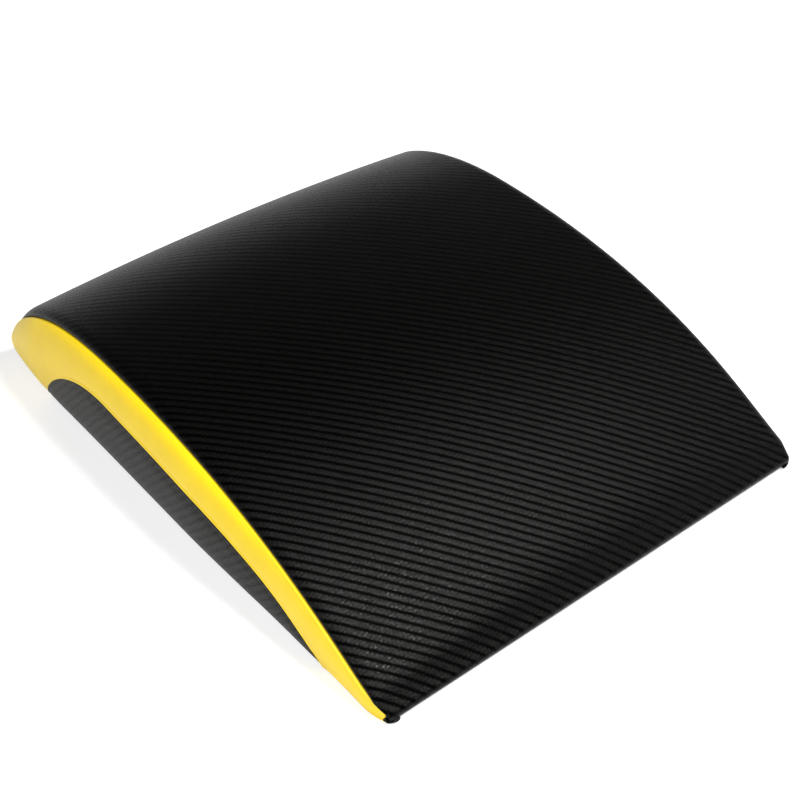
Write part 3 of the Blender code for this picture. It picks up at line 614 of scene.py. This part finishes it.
patch_crest = (PATCH_BACK - PATCH_CREST_SHARE * (PATCH_BACK - PATCH_FRONT), PATCH_HEIGHT)


def patch_handle(end_y, shares):
    along, up = shares
    return (patch_crest[0] + along * (end_y - patch_crest[0]), up * PATCH_HEIGHT)


patch_rise = [(PATCH_FRONT, 0.0), *(patch_handle(PATCH_FRONT, s) for s in PATCH_FRONT_HANDLES), patch_crest]
patch_fall = [patch_crest, *(patch_handle(PATCH_BACK, s) for s in PATCH_BACK_HANDLES), (PATCH_BACK, 0.0)]
PATCH_LINE = np.vstack([bent_line(patch_rise, 90), bent_line(patch_fall, 90)[1:]])
patch_runs = runs_along(PATCH_LINE)


def patch_at(y):
    return np.interp(y, PATCH_LINE[:, 0], PATCH_LINE[:, 1], left=0.0, right=0.0)


def square_to(line, y):
    """The direction square to a line at one y, towards its upper side, as y and z."""
    ways = np.gradient(line, runs_along(line), axis=0)
    way = np.array([np.interp(y, line[:, 0], ways[:, k]) for k in (0, 1)])
    way /= np.linalg.norm(way)
    return np.array([-way[1], way[0]])


def bunched(count):
    """Steps from 0 to 1 that lie closer together near both ends."""
    return (1 - np.cos(np.linspace(0, math.pi, count))) / 2


def squared(seam, way, inward):
    """A fold's place and its two directions, made square to each other."""
    way = way / np.linalg.norm(way)
    inward = inward - way * (inward @ way)
    return seam, way, inward / np.linalg.norm(inward)


def side_column(y, part, face_rows):
    """One column of a side's band or patch, from its lower seam to its upper seam, for x > 0."""
    low = side_base_at(y)
    high = top_at(y) - TIP_SINK * ease((FRONT_Y + SINK_LENGTH - y) / SINK_LENGTH)
    height = high - low
    edge = max(patch_at(y) - low, 0.0)
    first, last = (edge / height, 1.0) if part == "band" else (0.0, edge / height)
    shares = first + bunched(240) * (last - first)
    profile = np.stack([half_width_at(y) + bulge_at(y, shares), low + shares * height], -1)
    lengths = runs_along(profile)
    total = lengths[-1]
    at_patch = ease(edge / PATCH_EASE)
    tip_share = TIP_FOLD + (1 - TIP_FOLD) * ease((y - FRONT_Y) / WRAP_LENGTH)
    outer_fold = min(FOLD, FOLD_SHARE * total) * tip_share
    patch_fold = min(PATCH_FOLD, FOLD_SHARE * total)

    ends = [np.array([x, y, z]) for x, z in profile[[0, -1]]]
    seam_in = np.array([-1.0, 0.0, 0.0])
    gap_out = np.array([SEAM_GAP, 0.0, 0.0])
    base_fold = (ends[0] + gap_out, seam_in, np.array([0.0, *square_to(BASE_EDGE, y)]))
    top_fold = (ends[1] + gap_out, seam_in, -np.array([0.0, *square_to(TOP_EDGE, y)]))
    up = np.array([0.0, *(square_to(PATCH_LINE, y) if edge > 0 else (0.0, 1.0))])
    slant = max(up[2], LEAST_SLANT)
    if part == "band":
        patch_seam = (ends[0] + up * SEAM_GAP, -up, seam_in)
        low_seam = [(1 - at_patch) * a + at_patch * b for a, b in zip(base_fold, patch_seam)]
        high_seam = top_fold
        low_fold = outer_fold + at_patch * (patch_fold - outer_fold)
        high_fold = outer_fold
        cut_low, cut_high = low_fold / (1 - at_patch + at_patch * slant), high_fold
    else:
        low_seam, high_seam = base_fold, (ends[1] - up * SEAM_GAP, up, seam_in)
        low_fold, high_fold = outer_fold, patch_fold
        cut_low, cut_high = low_fold, high_fold / slant

    low_points = turned_in(*squared(*low_seam), low_fold, 90, TUCK, 3)
    high_points = turned_in(*squared(*high_seam), high_fold, 90, TUCK, 3)
    steps = 0.5 * bunched(face_rows + 2) + 0.5 * np.linspace(0, 1, face_rows + 2)
    marks = cut_low + steps * max(total - cut_low - cut_high, 0.0)
    face = np.stack([np.interp(marks, lengths, profile[:, k]) for k in (0, 1)], -1)
    if part == "band":
        groove = at_patch * PATCH_GROOVE * np.exp(-(((marks - cut_low) / GROOVE_WIDTH) ** 2))
    else:
        groove = PATCH_GROOVE * np.exp(-(((total - cut_high - marks) / GROOVE_WIDTH) ** 2))
    groove *= min(1.0, total / GROOVE_LEAST)
    middle = [(a - g, y, b) for (a, b), g in zip(face[1:-1], groove[1:-1])]
    return np.array([*low_points[::-1], *middle, *high_points])


front_turn = np.linspace(0, math.pi / 2, 17)[:-1]
front_span = PATCH_FRONT - FRONT_Y - TIP_SETBACK
front_ys = FRONT_Y + TIP_SETBACK + front_span * (1 - np.cos(front_turn))
patch_ys = np.interp(np.linspace(0, patch_runs[-1], 92), patch_runs, PATCH_LINE[:, 0])
back_turn = np.linspace(0, math.pi / 2, 22)[1:]
back_ys = PATCH_BACK + (BACK_Y - HEEL_SETBACK - PATCH_BACK) * np.sin(back_turn)
band_ys = np.concatenate([front_ys, patch_ys, back_ys])
band_points = np.array([side_column(y, "band", 16) for y in band_ys])
patch_mid = patch_ys[1:-1]
patch_mid = patch_mid[patch_at(patch_mid) - side_base_at(patch_mid) > PATCH_LEAST_HEIGHT]
patch_points = np.array([side_column(y, "patch", 14) for y in patch_mid])

yellow_vinyl = finish("yellow_vinyl", {"Specular IOR Level": 0.35})
tree = yellow_vinyl.node_tree
place = node(tree, "ShaderNodeUVMap", uv_map="cut").outputs["UV"]
grain = node(tree, "ShaderNodeTexVoronoi", {"Vector": place, "Scale": 1500.0}, feature="SMOOTH_F1")
mottle = noise(tree, place, 60.0, 3.0)
pores = noise(tree, place, 2600.0, 2.0)
link_to(yellow_vinyl, "Base Color", blended(tree, mottle, YELLOW_DARK, YELLOW_LIGHT))
link_to(yellow_vinyl, "Roughness", maths(tree, "MULTIPLY_ADD", pores, 0.16, 0.34))
height = maths(tree, "MULTIPLY_ADD", pores, 0.4, grain.outputs["Distance"])
raised(yellow_vinyl, height, YELLOW_DEPTH)
grey_vinyl = ribbed_vinyl("grey_ribbed_vinyl", GREY_FURROW_SHADE, GREY_RIB, GREY_ROUGHNESS)

for side, word in SIDES:
    turn, cut_turn = np.array([side, 1, 1]), np.array([-side, 1])
    band_cut, patch_cut = band_points[:, :, 1:] * cut_turn, patch_points[:, :, 1:] * cut_turn
    band = panel(f"{word}_band", band_points * turn, band_cut, flip=side < 0)
    sewn(band, yellow_vinyl, f"{word}_side_band")
    patch = panel(f"{word}_patch", patch_points * turn, patch_cut, flip=side < 0)
    sewn(patch, grey_vinyl, f"{word}_side_inset")

# Corners: where all the layers meet, the turned-in allowances can't be trimmed away, and each makes
# a small hard knot of black vinyl: a blunt one at each end of the front lip, and a smaller one at
# each end of the seam round the foot of the thick end. The knots are folded, not stuffed.

FRONT_KNOT, BACK_KNOT = (0.0040, 0.0018, 0.0020), (0.0013, 0.0017, 0.0011)
FRONT_KNOT_IN, FRONT_KNOT_Y, FRONT_KNOT_Z = 0.0012, FRONT_Y + 0.0010, 0.0022
BACK_KNOT_OUT, BACK_KNOT_Y, BACK_KNOT_Z = 0.0006, BACK_Y - 0.0002, FOOT_HEIGHT - 0.0004
KNOT_CREASE, CREASE_WIDTH = 0.30, 0.25
KNOT_BLUNTNESS = 2.6


def knot(name, middle, way, up, half):
    """A blunt lump of folded vinyl, long one way, with a crease where its layers meet."""
    middle, way, up = (np.array(v, float) for v in (middle, way, up))
    way /= np.linalg.norm(way)
    up -= way * (up @ way)
    up /= np.linalg.norm(up)
    deep = np.cross(way, up)
    turns = np.linspace(0, 2 * math.pi, 25)[:-1]
    rings, flat = [], []
    for t in np.linspace(-0.98, 0.98, 15):
        size = (1 - abs(t) ** KNOT_BLUNTNESS) ** 0.5
        crease = 1 - KNOT_CREASE * np.exp(-(((np.sin(turns - 0.5 * t)) / CREASE_WIDTH) ** 2))
        across = up * half[1] * np.sin(turns)[:, None] + deep * half[2] * np.cos(turns)[:, None]
        rings.append(list(middle + way * half[0] * t + across * size * crease[:, None]))
        flat += [(half[0] * t, half[1] * a) for a in turns]
    obj = closed_mesh(name, rings)
    lay_out(obj.data, flat)
    obj.data.shade_smooth()
    smoothed(obj)
    obj.data.materials.append(black_vinyl)
    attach(obj, "cover")


for side, word in SIDES:
    front = (side * (half_width_at(FRONT_Y) - FRONT_KNOT_IN), FRONT_KNOT_Y, FRONT_KNOT_Z)
    knot(f"{word}_front_knot", front, (side, 0.35, 0), (0, -0.2, 1), FRONT_KNOT)
    back = (side * (half_width_at(BACK_Y) + BACK_KNOT_OUT), BACK_KNOT_Y, BACK_KNOT_Z)
    knot(f"{word}_back_knot", back, (side, 0.3, 0), (0, 0, 1), BACK_KNOT)

# Tapes: two woven polyester tapes, each with a cord along its inner edge for the teeth to grip. They
# are stitched under the hems of the top and the base and run into the side seams at both ends.
# They are narrow trim, held flat by the stitching.

TAPE_THICK, TAPE_INNER, TAPE_OUTER = 0.0006, 0.0016, 0.0100
CORD_RADIUS, CORD_TO_FLAT = 0.00050, 0.0009
TAPE_END = 0.1440
TAPE_WAVE, LONG_WAVE, SHORT_WAVE = 0.00006, 97.0, 310.0
TAPE_CREASE = 50
WEAVE_ZIGZAG, WEAVE_RIB, WEAVE_RELIEF = 0.0011, 0.00028, 0.00012
TAPE_DARK, TAPE_LIGHT = (0.006, 0.006, 0.006, 1), (0.034, 0.034, 0.035, 1)

stop_low, stop_high = (np.array(corner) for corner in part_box("zip_bottom_stop"))
zip_middle = ((stop_low + stop_high) / 2)[1:]
zip_up = np.array([zip_high_y - zip_low_y, ZIP_HIGH - ZIP_LOW])
zip_up /= np.linalg.norm(zip_up)
zip_out = np.array([zip_up[1], -zip_up[0]])


def on_zip(x, down, out):
    """A place along the chain, down across it and out of the mat, as a point."""
    y, z = zip_middle - zip_up * down + zip_out * out
    return (x, y, z)


def tape_ring(x, side):
    """The tape's section: round its cord, then flat."""
    cord = TAPE_INNER + CORD_RADIUS
    flat = np.linspace(cord + CORD_TO_FLAT, TAPE_OUTER, 6)
    back = np.linspace(TAPE_OUTER, cord + CORD_TO_FLAT, 6)
    turns = np.radians(np.linspace(35, 325, 11))
    section = [(cord + CORD_RADIUS * math.cos(a), CORD_RADIUS * math.sin(a)) for a in turns]
    section += [(d, -TAPE_THICK / 2) for d in flat] + [(d, TAPE_THICK / 2) for d in back]
    lift = TAPE_WAVE * math.sin(x * SHORT_WAVE + side) * math.sin(x * LONG_WAVE)
    return [on_zip(x, side * down, out + lift) for down, out in section]


tape_weave = finish("tape_weave", {"Specular IOR Level": 0.3})
tree = tape_weave.node_tree
place = node(tree, "ShaderNodeTexCoord").outputs["Object"]
apart = node(tree, "ShaderNodeSeparateXYZ", {0: place})
across = node(
    tree,
    "ShaderNodeVectorMath",
    {0: place, 1: (0.0, zip_up[0], zip_up[1])},
    operation="DOT_PRODUCT",
)
zigzag = maths(tree, "PINGPONG", across.outputs["Value"], WEAVE_ZIGZAG)
rib = maths(tree, "PINGPONG", maths(tree, "ADD", apart.outputs[0], zigzag), WEAVE_RIB)
rib = maths(tree, "DIVIDE", rib, WEAVE_RIB)
lint = noise(tree, place, 3200.0, 2.0)
tone = maths(tree, "MULTIPLY", rib, lint)
link_to(tape_weave, "Base Color", blended(tree, tone, TAPE_DARK, TAPE_LIGHT))
link_to(tape_weave, "Roughness", maths(tree, "MULTIPLY_ADD", lint, 0.2, 0.7))
raised(tape_weave, rib, WEAVE_RELIEF)

for side, word in ((-1, "upper"), (1, "lower")):
    places = np.linspace(-TAPE_END, TAPE_END, 120)
    tape = closed_mesh(f"{word}_tape", [tape_ring(x, side) for x in places])
    shaded(tape.data, TAPE_CREASE)
    tape.data.materials.append(tape_weave)
    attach(tape, "cover")
    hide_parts(f"zip_tape_{word}")

# Teeth: moulded onto each tape's cord, with a round head that reaches between two necks of the other
# row, at the pitch of a No. 5 chain. Every tooth is the same, so one is made and a node tree
# repeats it. The stops at both ends of the chain are moulded from the same plastic.

TOOTH_PITCH = 0.0034
TEETH = 68
CHAIN_START = -0.11575
TOOTH_SECTIONS = (
    (0.00300, 0.00040, 0.00030),
    (0.00290, 0.00075, 0.00070),
    (0.00245, 0.00098, 0.00102),
    (0.00170, 0.00086, 0.00110),
    (0.00085, 0.00056, 0.00108),
    (0.00020, 0.00058, 0.00108),
    (-0.00035, 0.00082, 0.00104),
    (-0.00080, 0.00080, 0.00092),
    (-0.00108, 0.00050, 0.00060),
)
TOOTH_CORNERS = ((1, 0.5), (0.5, 1), (-0.5, 1), (-1, 0.5), (-1, -0.5), (-0.5, -1), (0.5, -1), (1, -0.5))
TOOTH_CREASE = 55
TOOTH_DARK, TOOTH_LIGHT = (0.010, 0.010, 0.010, 1), (0.026, 0.026, 0.026, 1)
HAZE_DEPTH = 0.00003


def tooth_ring(side, down, half_along, half_out):
    """One section of a tooth, from its head to the end of its legs."""
    return [on_zip(a * half_along, side * down, b * half_out) for a, b in TOOTH_CORNERS]


def row_tree():
    """Repeats the piece that it is given at even steps in a straight line."""
    tree = bpy.data.node_groups.new("row", "GeometryNodeTree")
    sockets = [
        ("Piece", "NodeSocketGeometry"),
        ("Count", "NodeSocketInt"),
        ("First", "NodeSocketVector"),
        ("Step", "NodeSocketVector"),
        ("Wander", "NodeSocketVector"),
        ("Seed", "NodeSocketInt"),
        ("Finish", "NodeSocketMaterial"),
    ]
    for label, kind in sockets:
        tree.interface.new_socket(label, in_out="INPUT", socket_type=kind)
    tree.interface.new_socket("Row", in_out="OUTPUT", socket_type="NodeSocketGeometry")
    given = tree.nodes.new("NodeGroupInput").outputs
    line = node(
        tree,
        "GeometryNodeMeshLine",
        {"Count": given["Count"], "Start Location": given["First"], "Offset": given["Step"]},
        mode="OFFSET",
    )
    less = node(tree, "ShaderNodeVectorMath", {0: given["Wander"], "Scale": -1.0}, operation="SCALE")
    stray = node(
        tree,
        "FunctionNodeRandomValue",
        {0: less.outputs[0], 1: given["Wander"], "Seed": given["Seed"]},
        data_type="FLOAT_VECTOR",
    )
    moves = {"Geometry": line.outputs[0], "Offset": stray.outputs[0]}
    moved = node(tree, "GeometryNodeSetPosition", moves)
    copies = {"Points": moved.outputs[0], "Instance": given["Piece"]}
    each = node(tree, "GeometryNodeInstanceOnPoints", copies)
    real = node(tree, "GeometryNodeRealizeInstances", {"Geometry": each.outputs[0]})
    looks = {"Geometry": real.outputs[0], "Material": given["Finish"]}
    dressed = node(tree, "GeometryNodeSetMaterial", looks)
    result = tree.nodes.new("NodeGroupOutput")
    tree.links.new(dressed.outputs[0], result.inputs["Row"])
    return tree


row = row_tree()


def repeat(obj, values):
    """Turns a piece into a row of it, as a plain mesh."""
    step = obj.modifiers.new("row", "NODES")
    step.node_group = row
    for socket in row.interface.items_tree:
        if socket.in_out == "INPUT" and socket.name in values:
            step[socket.identifier] = values[socket.name]
    bpy.context.view_layer.update()
    graph = bpy.context.evaluated_depsgraph_get()
    made = bpy.data.meshes.new_from_object(obj.evaluated_get(graph))
    obj.modifiers.remove(step)
    obj.data = made
    made.name = obj.name


tooth_plastic = finish("tooth_plastic", {"Specular IOR Level": 0.5})
tree = tooth_plastic.node_tree
place = node(tree, "ShaderNodeTexCoord").outputs["Object"]
haze = noise(tree, place, 700.0, 3.0)
link_to(tooth_plastic, "Base Color", blended(tree, haze, TOOTH_DARK, TOOTH_LIGHT))
link_to(tooth_plastic, "Roughness", maths(tree, "MULTIPLY_ADD", haze, 0.25, 0.24))
raised(tooth_plastic, haze, HAZE_DEPTH)

for side, word, shift in ((-1, "upper", 0.5), (1, "lower", 1.0)):
    teeth = closed_mesh(f"{word}_teeth", [tooth_ring(side, *section) for section in TOOTH_SECTIONS])
    shaded(teeth.data, TOOTH_CREASE)
    values = {
        "Count": TEETH,
        "First": (CHAIN_START + shift * TOOTH_PITCH, 0.0, 0.0),
        "Step": (TOOTH_PITCH, 0.0, 0.0),
        "Wander": (0.0, 0.0, 0.0),
        "Finish": tooth_plastic,
    }
    repeat(teeth, values)
    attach(teeth, "cover")
    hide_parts(f"zip_teeth_{word}")
for name in ("zip_top_stop_upper", "zip_top_stop_lower", "zip_bottom_stop"):
    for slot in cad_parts[name].material_slots:
        slot.material = tooth_plastic

# Slider and pull tab: die-cast zinc with a black enamel, chipped in places. The slider's wedge parts
# the teeth between its two plates, and the tab's crossbar turns under the slider's bridge.

CAST_EDGE, CAST_EDGE_FROM = 0.00016, 35
CAST_CREASE = 40
CAST_FLATNESS = 2
CAST_JOIN = 0.000002
ENAMEL, BARE_ZINC = (0.012, 0.012, 0.013, 1), (0.48, 0.47, 0.45, 1)
CHIP_FROM, CHIP_FULL = 0.665, 0.70
PEEL_DEPTH = 0.00003

black_enamel = finish("black_enamel", {"Specular IOR Level": 0.5})
tree = black_enamel.node_tree
place = node(tree, "ShaderNodeTexCoord").outputs["Object"]
peel = noise(tree, place, 900.0, 2.0)
bare = ramp(tree, noise(tree, place, 420.0, 5.0, 0.65), CHIP_FROM, CHIP_FULL)
link_to(black_enamel, "Base Color", blended(tree, bare, ENAMEL, BARE_ZINC))
link_to(black_enamel, "Metallic", bare)
link_to(black_enamel, "Roughness", maths(tree, "MULTIPLY_ADD", peel, 0.18, 0.18))
raised(black_enamel, maths(tree, "MULTIPLY_ADD", bare, -0.8, peel), PEEL_DEPTH)

castings = (("slider_body", "zip_slider", "slider"), ("tab_body", "zip_pull_tab", "pull_tab"))
for name, source, body in castings:
    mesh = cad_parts[source].data.copy()
    bm = bmesh.new()
    bm.from_mesh(mesh)
    bmesh.ops.remove_doubles(bm, verts=bm.verts, dist=CAST_JOIN)
    flat = math.radians(CAST_FLATNESS)
    bmesh.ops.dissolve_limit(bm, angle_limit=flat, verts=bm.verts, edges=bm.edges)
    bm.to_mesh(mesh)
    bm.free()
    cast = placed(name, mesh)
    shaded(mesh, CAST_CREASE)
    edge = cast.modifiers.new("edge", "BEVEL")
    edge.width = CAST_EDGE
    edge.segments = 3
    edge.limit_method = "ANGLE"
    edge.angle_limit = math.radians(CAST_EDGE_FROM)
    mesh.materials.clear()
    mesh.materials.append(black_enamel)
    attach(cast, body)
    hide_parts(source)

# Stitching: one row of black polyester thread along each hem beside the zip, sewn through the hem
# and the tape behind it. Each stitch is pulled down into the vinyl at both of its ends.

STITCH_LENGTH, STITCH_STEP, THREAD = 0.0026, 0.0032, 0.00021
STITCH_FROM_EDGE = 0.0022
STITCH_SECTIONS = (-0.5, -0.44, -0.25, 0.0, 0.25, 0.44, 0.5)
STITCH_WANDER = (0.00008, 0.00004, 0.00004)
THREAD_DARK, THREAD_LIGHT = (0.008, 0.008, 0.008, 1), (0.05, 0.05, 0.05, 1)
PLIES_PER_METRE, PLY_DEPTH = 900.0, 0.00005

black_thread = finish("black_thread", {"Specular IOR Level": 0.4})
tree = black_thread.node_tree
place = node(tree, "ShaderNodeTexCoord").outputs["Object"]
ply = node(
    tree,
    "ShaderNodeTexWave",
    {"Vector": place, "Scale": PLIES_PER_METRE, "Distortion": 0.6},
    bands_direction="DIAGONAL",
).outputs["Fac"]
link_to(black_thread, "Base Color", blended(tree, ply, THREAD_DARK, THREAD_LIGHT))
link_to(black_thread, "Roughness", maths(tree, "MULTIPLY_ADD", ply, 0.2, 0.45))
raised(black_thread, ply, PLY_DEPTH)


def stitch_ring(share, spot, way, out):
    """One section of a stitch, at a share of its length from its middle."""
    bow = 1 - (2 * share) ** 4
    ring = []
    for a in np.linspace(0, 2 * math.pi, 9)[:-1]:
        over = THREAD * (0.35 + 0.65 * bow) * math.cos(a) + THREAD * (1.2 * bow - 0.9)
        beside = THREAD * (0.5 + 0.5 * bow) * math.sin(a)
        y, z = spot + out * over + way * beside
        ring.append((share * STITCH_LENGTH, y, z))
    return ring


stitch_count = int(2 * TAPE_END / STITCH_STEP) - 2
stitch_lines = (
    ("top_stitches", TOP_LINE, ZIP_RUN - STITCH_FROM_EDGE, -1),
    ("base_stitches", base_line, base_length - STITCH_FROM_EDGE, 1),
)
for number, (name, line, run, turn) in enumerate(stitch_lines):
    (spot,), (way,) = line_at(line, np.array([run]))
    out = turn * np.array([way[1], -way[0]])
    stitches = closed_mesh(name, [stitch_ring(share, spot, way, out) for share in STITCH_SECTIONS])
    stitches.data.shade_smooth()
    values = {
        "Count": stitch_count,
        "First": (-STITCH_STEP * (stitch_count - 1) / 2, 0.0, 0.0),
        "Step": (STITCH_STEP, 0.0, 0.0),
        "Wander": STITCH_WANDER,
        "Seed": number,
        "Finish": black_thread,
    }
    repeat(stitches, values)
    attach(stitches, "cover")

# Studio: a wide round floor that sweeps up into a low wall, two soft lamps, and the camera where
# the photograph was taken from. The floor glows white for the camera and in reflections only, less
# near the mat, where the lamps light it, and less far away.

LOOK_FROM, LOOK_AT = (-0.4255, -0.5364, 0.5776), (0.0107, 0.0001, 0.0)
LENS, SENSOR = 67.5, 36
FLOOR_Z, FLOOR_RADIUS, FLOOR_SIDES = -0.0002, 5.0, 64
SWEEP_RADIUS, WALL_TOP = 1.0, 1.25
FLOOR_COLOUR, WHITE = (0.55, 0.55, 0.55, 1), (1, 1, 1, 1)
NEAR_GLOW = (0.3, 1.0, 0.55, 1.0)
FAR_GLOW = (1.1, 2.4, 1.0, 0.45)
WORLD_STRENGTH = 0.035

sweep_line = [(r, FLOOR_Z) for r in (0.0, 0.6, 2.0, FLOOR_RADIUS)]
for a in np.radians(np.linspace(10, 90, 9)):
    out, up = SWEEP_RADIUS * math.sin(a), (SWEEP_RADIUS - FLOOR_Z) * math.cos(a)
    sweep_line.append((FLOOR_RADIUS + out, SWEEP_RADIUS - up))
sweep_line.append((FLOOR_RADIUS + SWEEP_RADIUS, WALL_TOP))
floor_mesh = bpy.data.meshes.new("studio_floor")
bm = bmesh.new()
turns = np.linspace(0, 2 * math.pi, FLOOR_SIDES + 1)[:-1]
rings = [[bm.verts.new((r * math.cos(a), r * math.sin(a), z)) for a in turns] for r, z in sweep_line[1:]]
centre = bm.verts.new((0.0, 0.0, FLOOR_Z))
for k in range(FLOOR_SIDES):
    after = (k + 1) % FLOOR_SIDES
    bm.faces.new((centre, rings[0][k], rings[0][after]))
    for a, b in zip(rings, rings[1:]):
        bm.faces.new((a[k], b[k], b[after], a[after]))
bm.to_mesh(floor_mesh)
bm.free()
floor_mesh.shade_smooth()
floor = placed("studio_floor", floor_mesh)
glow = {"Base Color": FLOOR_COLOUR, "Roughness": 0.9, "Emission Color": WHITE}
white_floor = finish("white_floor", glow)
tree = white_floor.node_tree
rays = node(tree, "ShaderNodeLightPath")
seen = maths(tree, "MAXIMUM", rays.outputs["Is Camera Ray"], rays.outputs["Is Glossy Ray"])
seen = maths(tree, "MAXIMUM", seen, rays.outputs["Is Transmission Ray"])
place = node(tree, "ShaderNodeTexCoord").outputs["Object"]
away = node(tree, "ShaderNodeVectorMath", {0: place}, operation="LENGTH").outputs["Value"]
near = ramp(tree, away, *NEAR_GLOW)
strength = maths(tree, "MULTIPLY", near, ramp(tree, away, *FAR_GLOW))
link_to(white_floor, "Emission Strength", maths(tree, "MULTIPLY", seen, strength))
floor_mesh.materials.append(white_floor)

world = bpy.data.worlds.new("studio")
bpy.context.scene.world = world
world.use_nodes = True
background = world.node_tree.nodes["Background"].inputs
background["Color"].default_value = WHITE
background["Strength"].default_value = WORLD_STRENGTH


def aimed(obj, place, target):
    obj.location = place
    obj.rotation_euler = (Vector(target) - Vector(place)).to_track_quat("-Z", "Y").to_euler()


def softbox(name, place, target, size, power):
    """A square soft lamp that faces a point."""
    data = bpy.data.lights.new(name, "AREA")
    data.shape = "SQUARE"
    data.size = size
    data.energy = power
    aimed(placed(name, data), place, target)


softbox("key", (-1.15, -0.80, 1.20), (0, 0, 0), 1.1, 27)
softbox("front", (0.27, -0.57, 1.14), (-0.10, -0.15, 0), 0.30, 27)

camera_data = bpy.data.cameras.new("camera")
camera_data.lens = LENS
camera_data.sensor_width = SENSOR
camera = placed("camera", camera_data)
aimed(camera, LOOK_FROM, LOOK_AT)
bpy.context.scene.camera = camera
bpy.context.scene.view_settings.view_transform = "Standard"
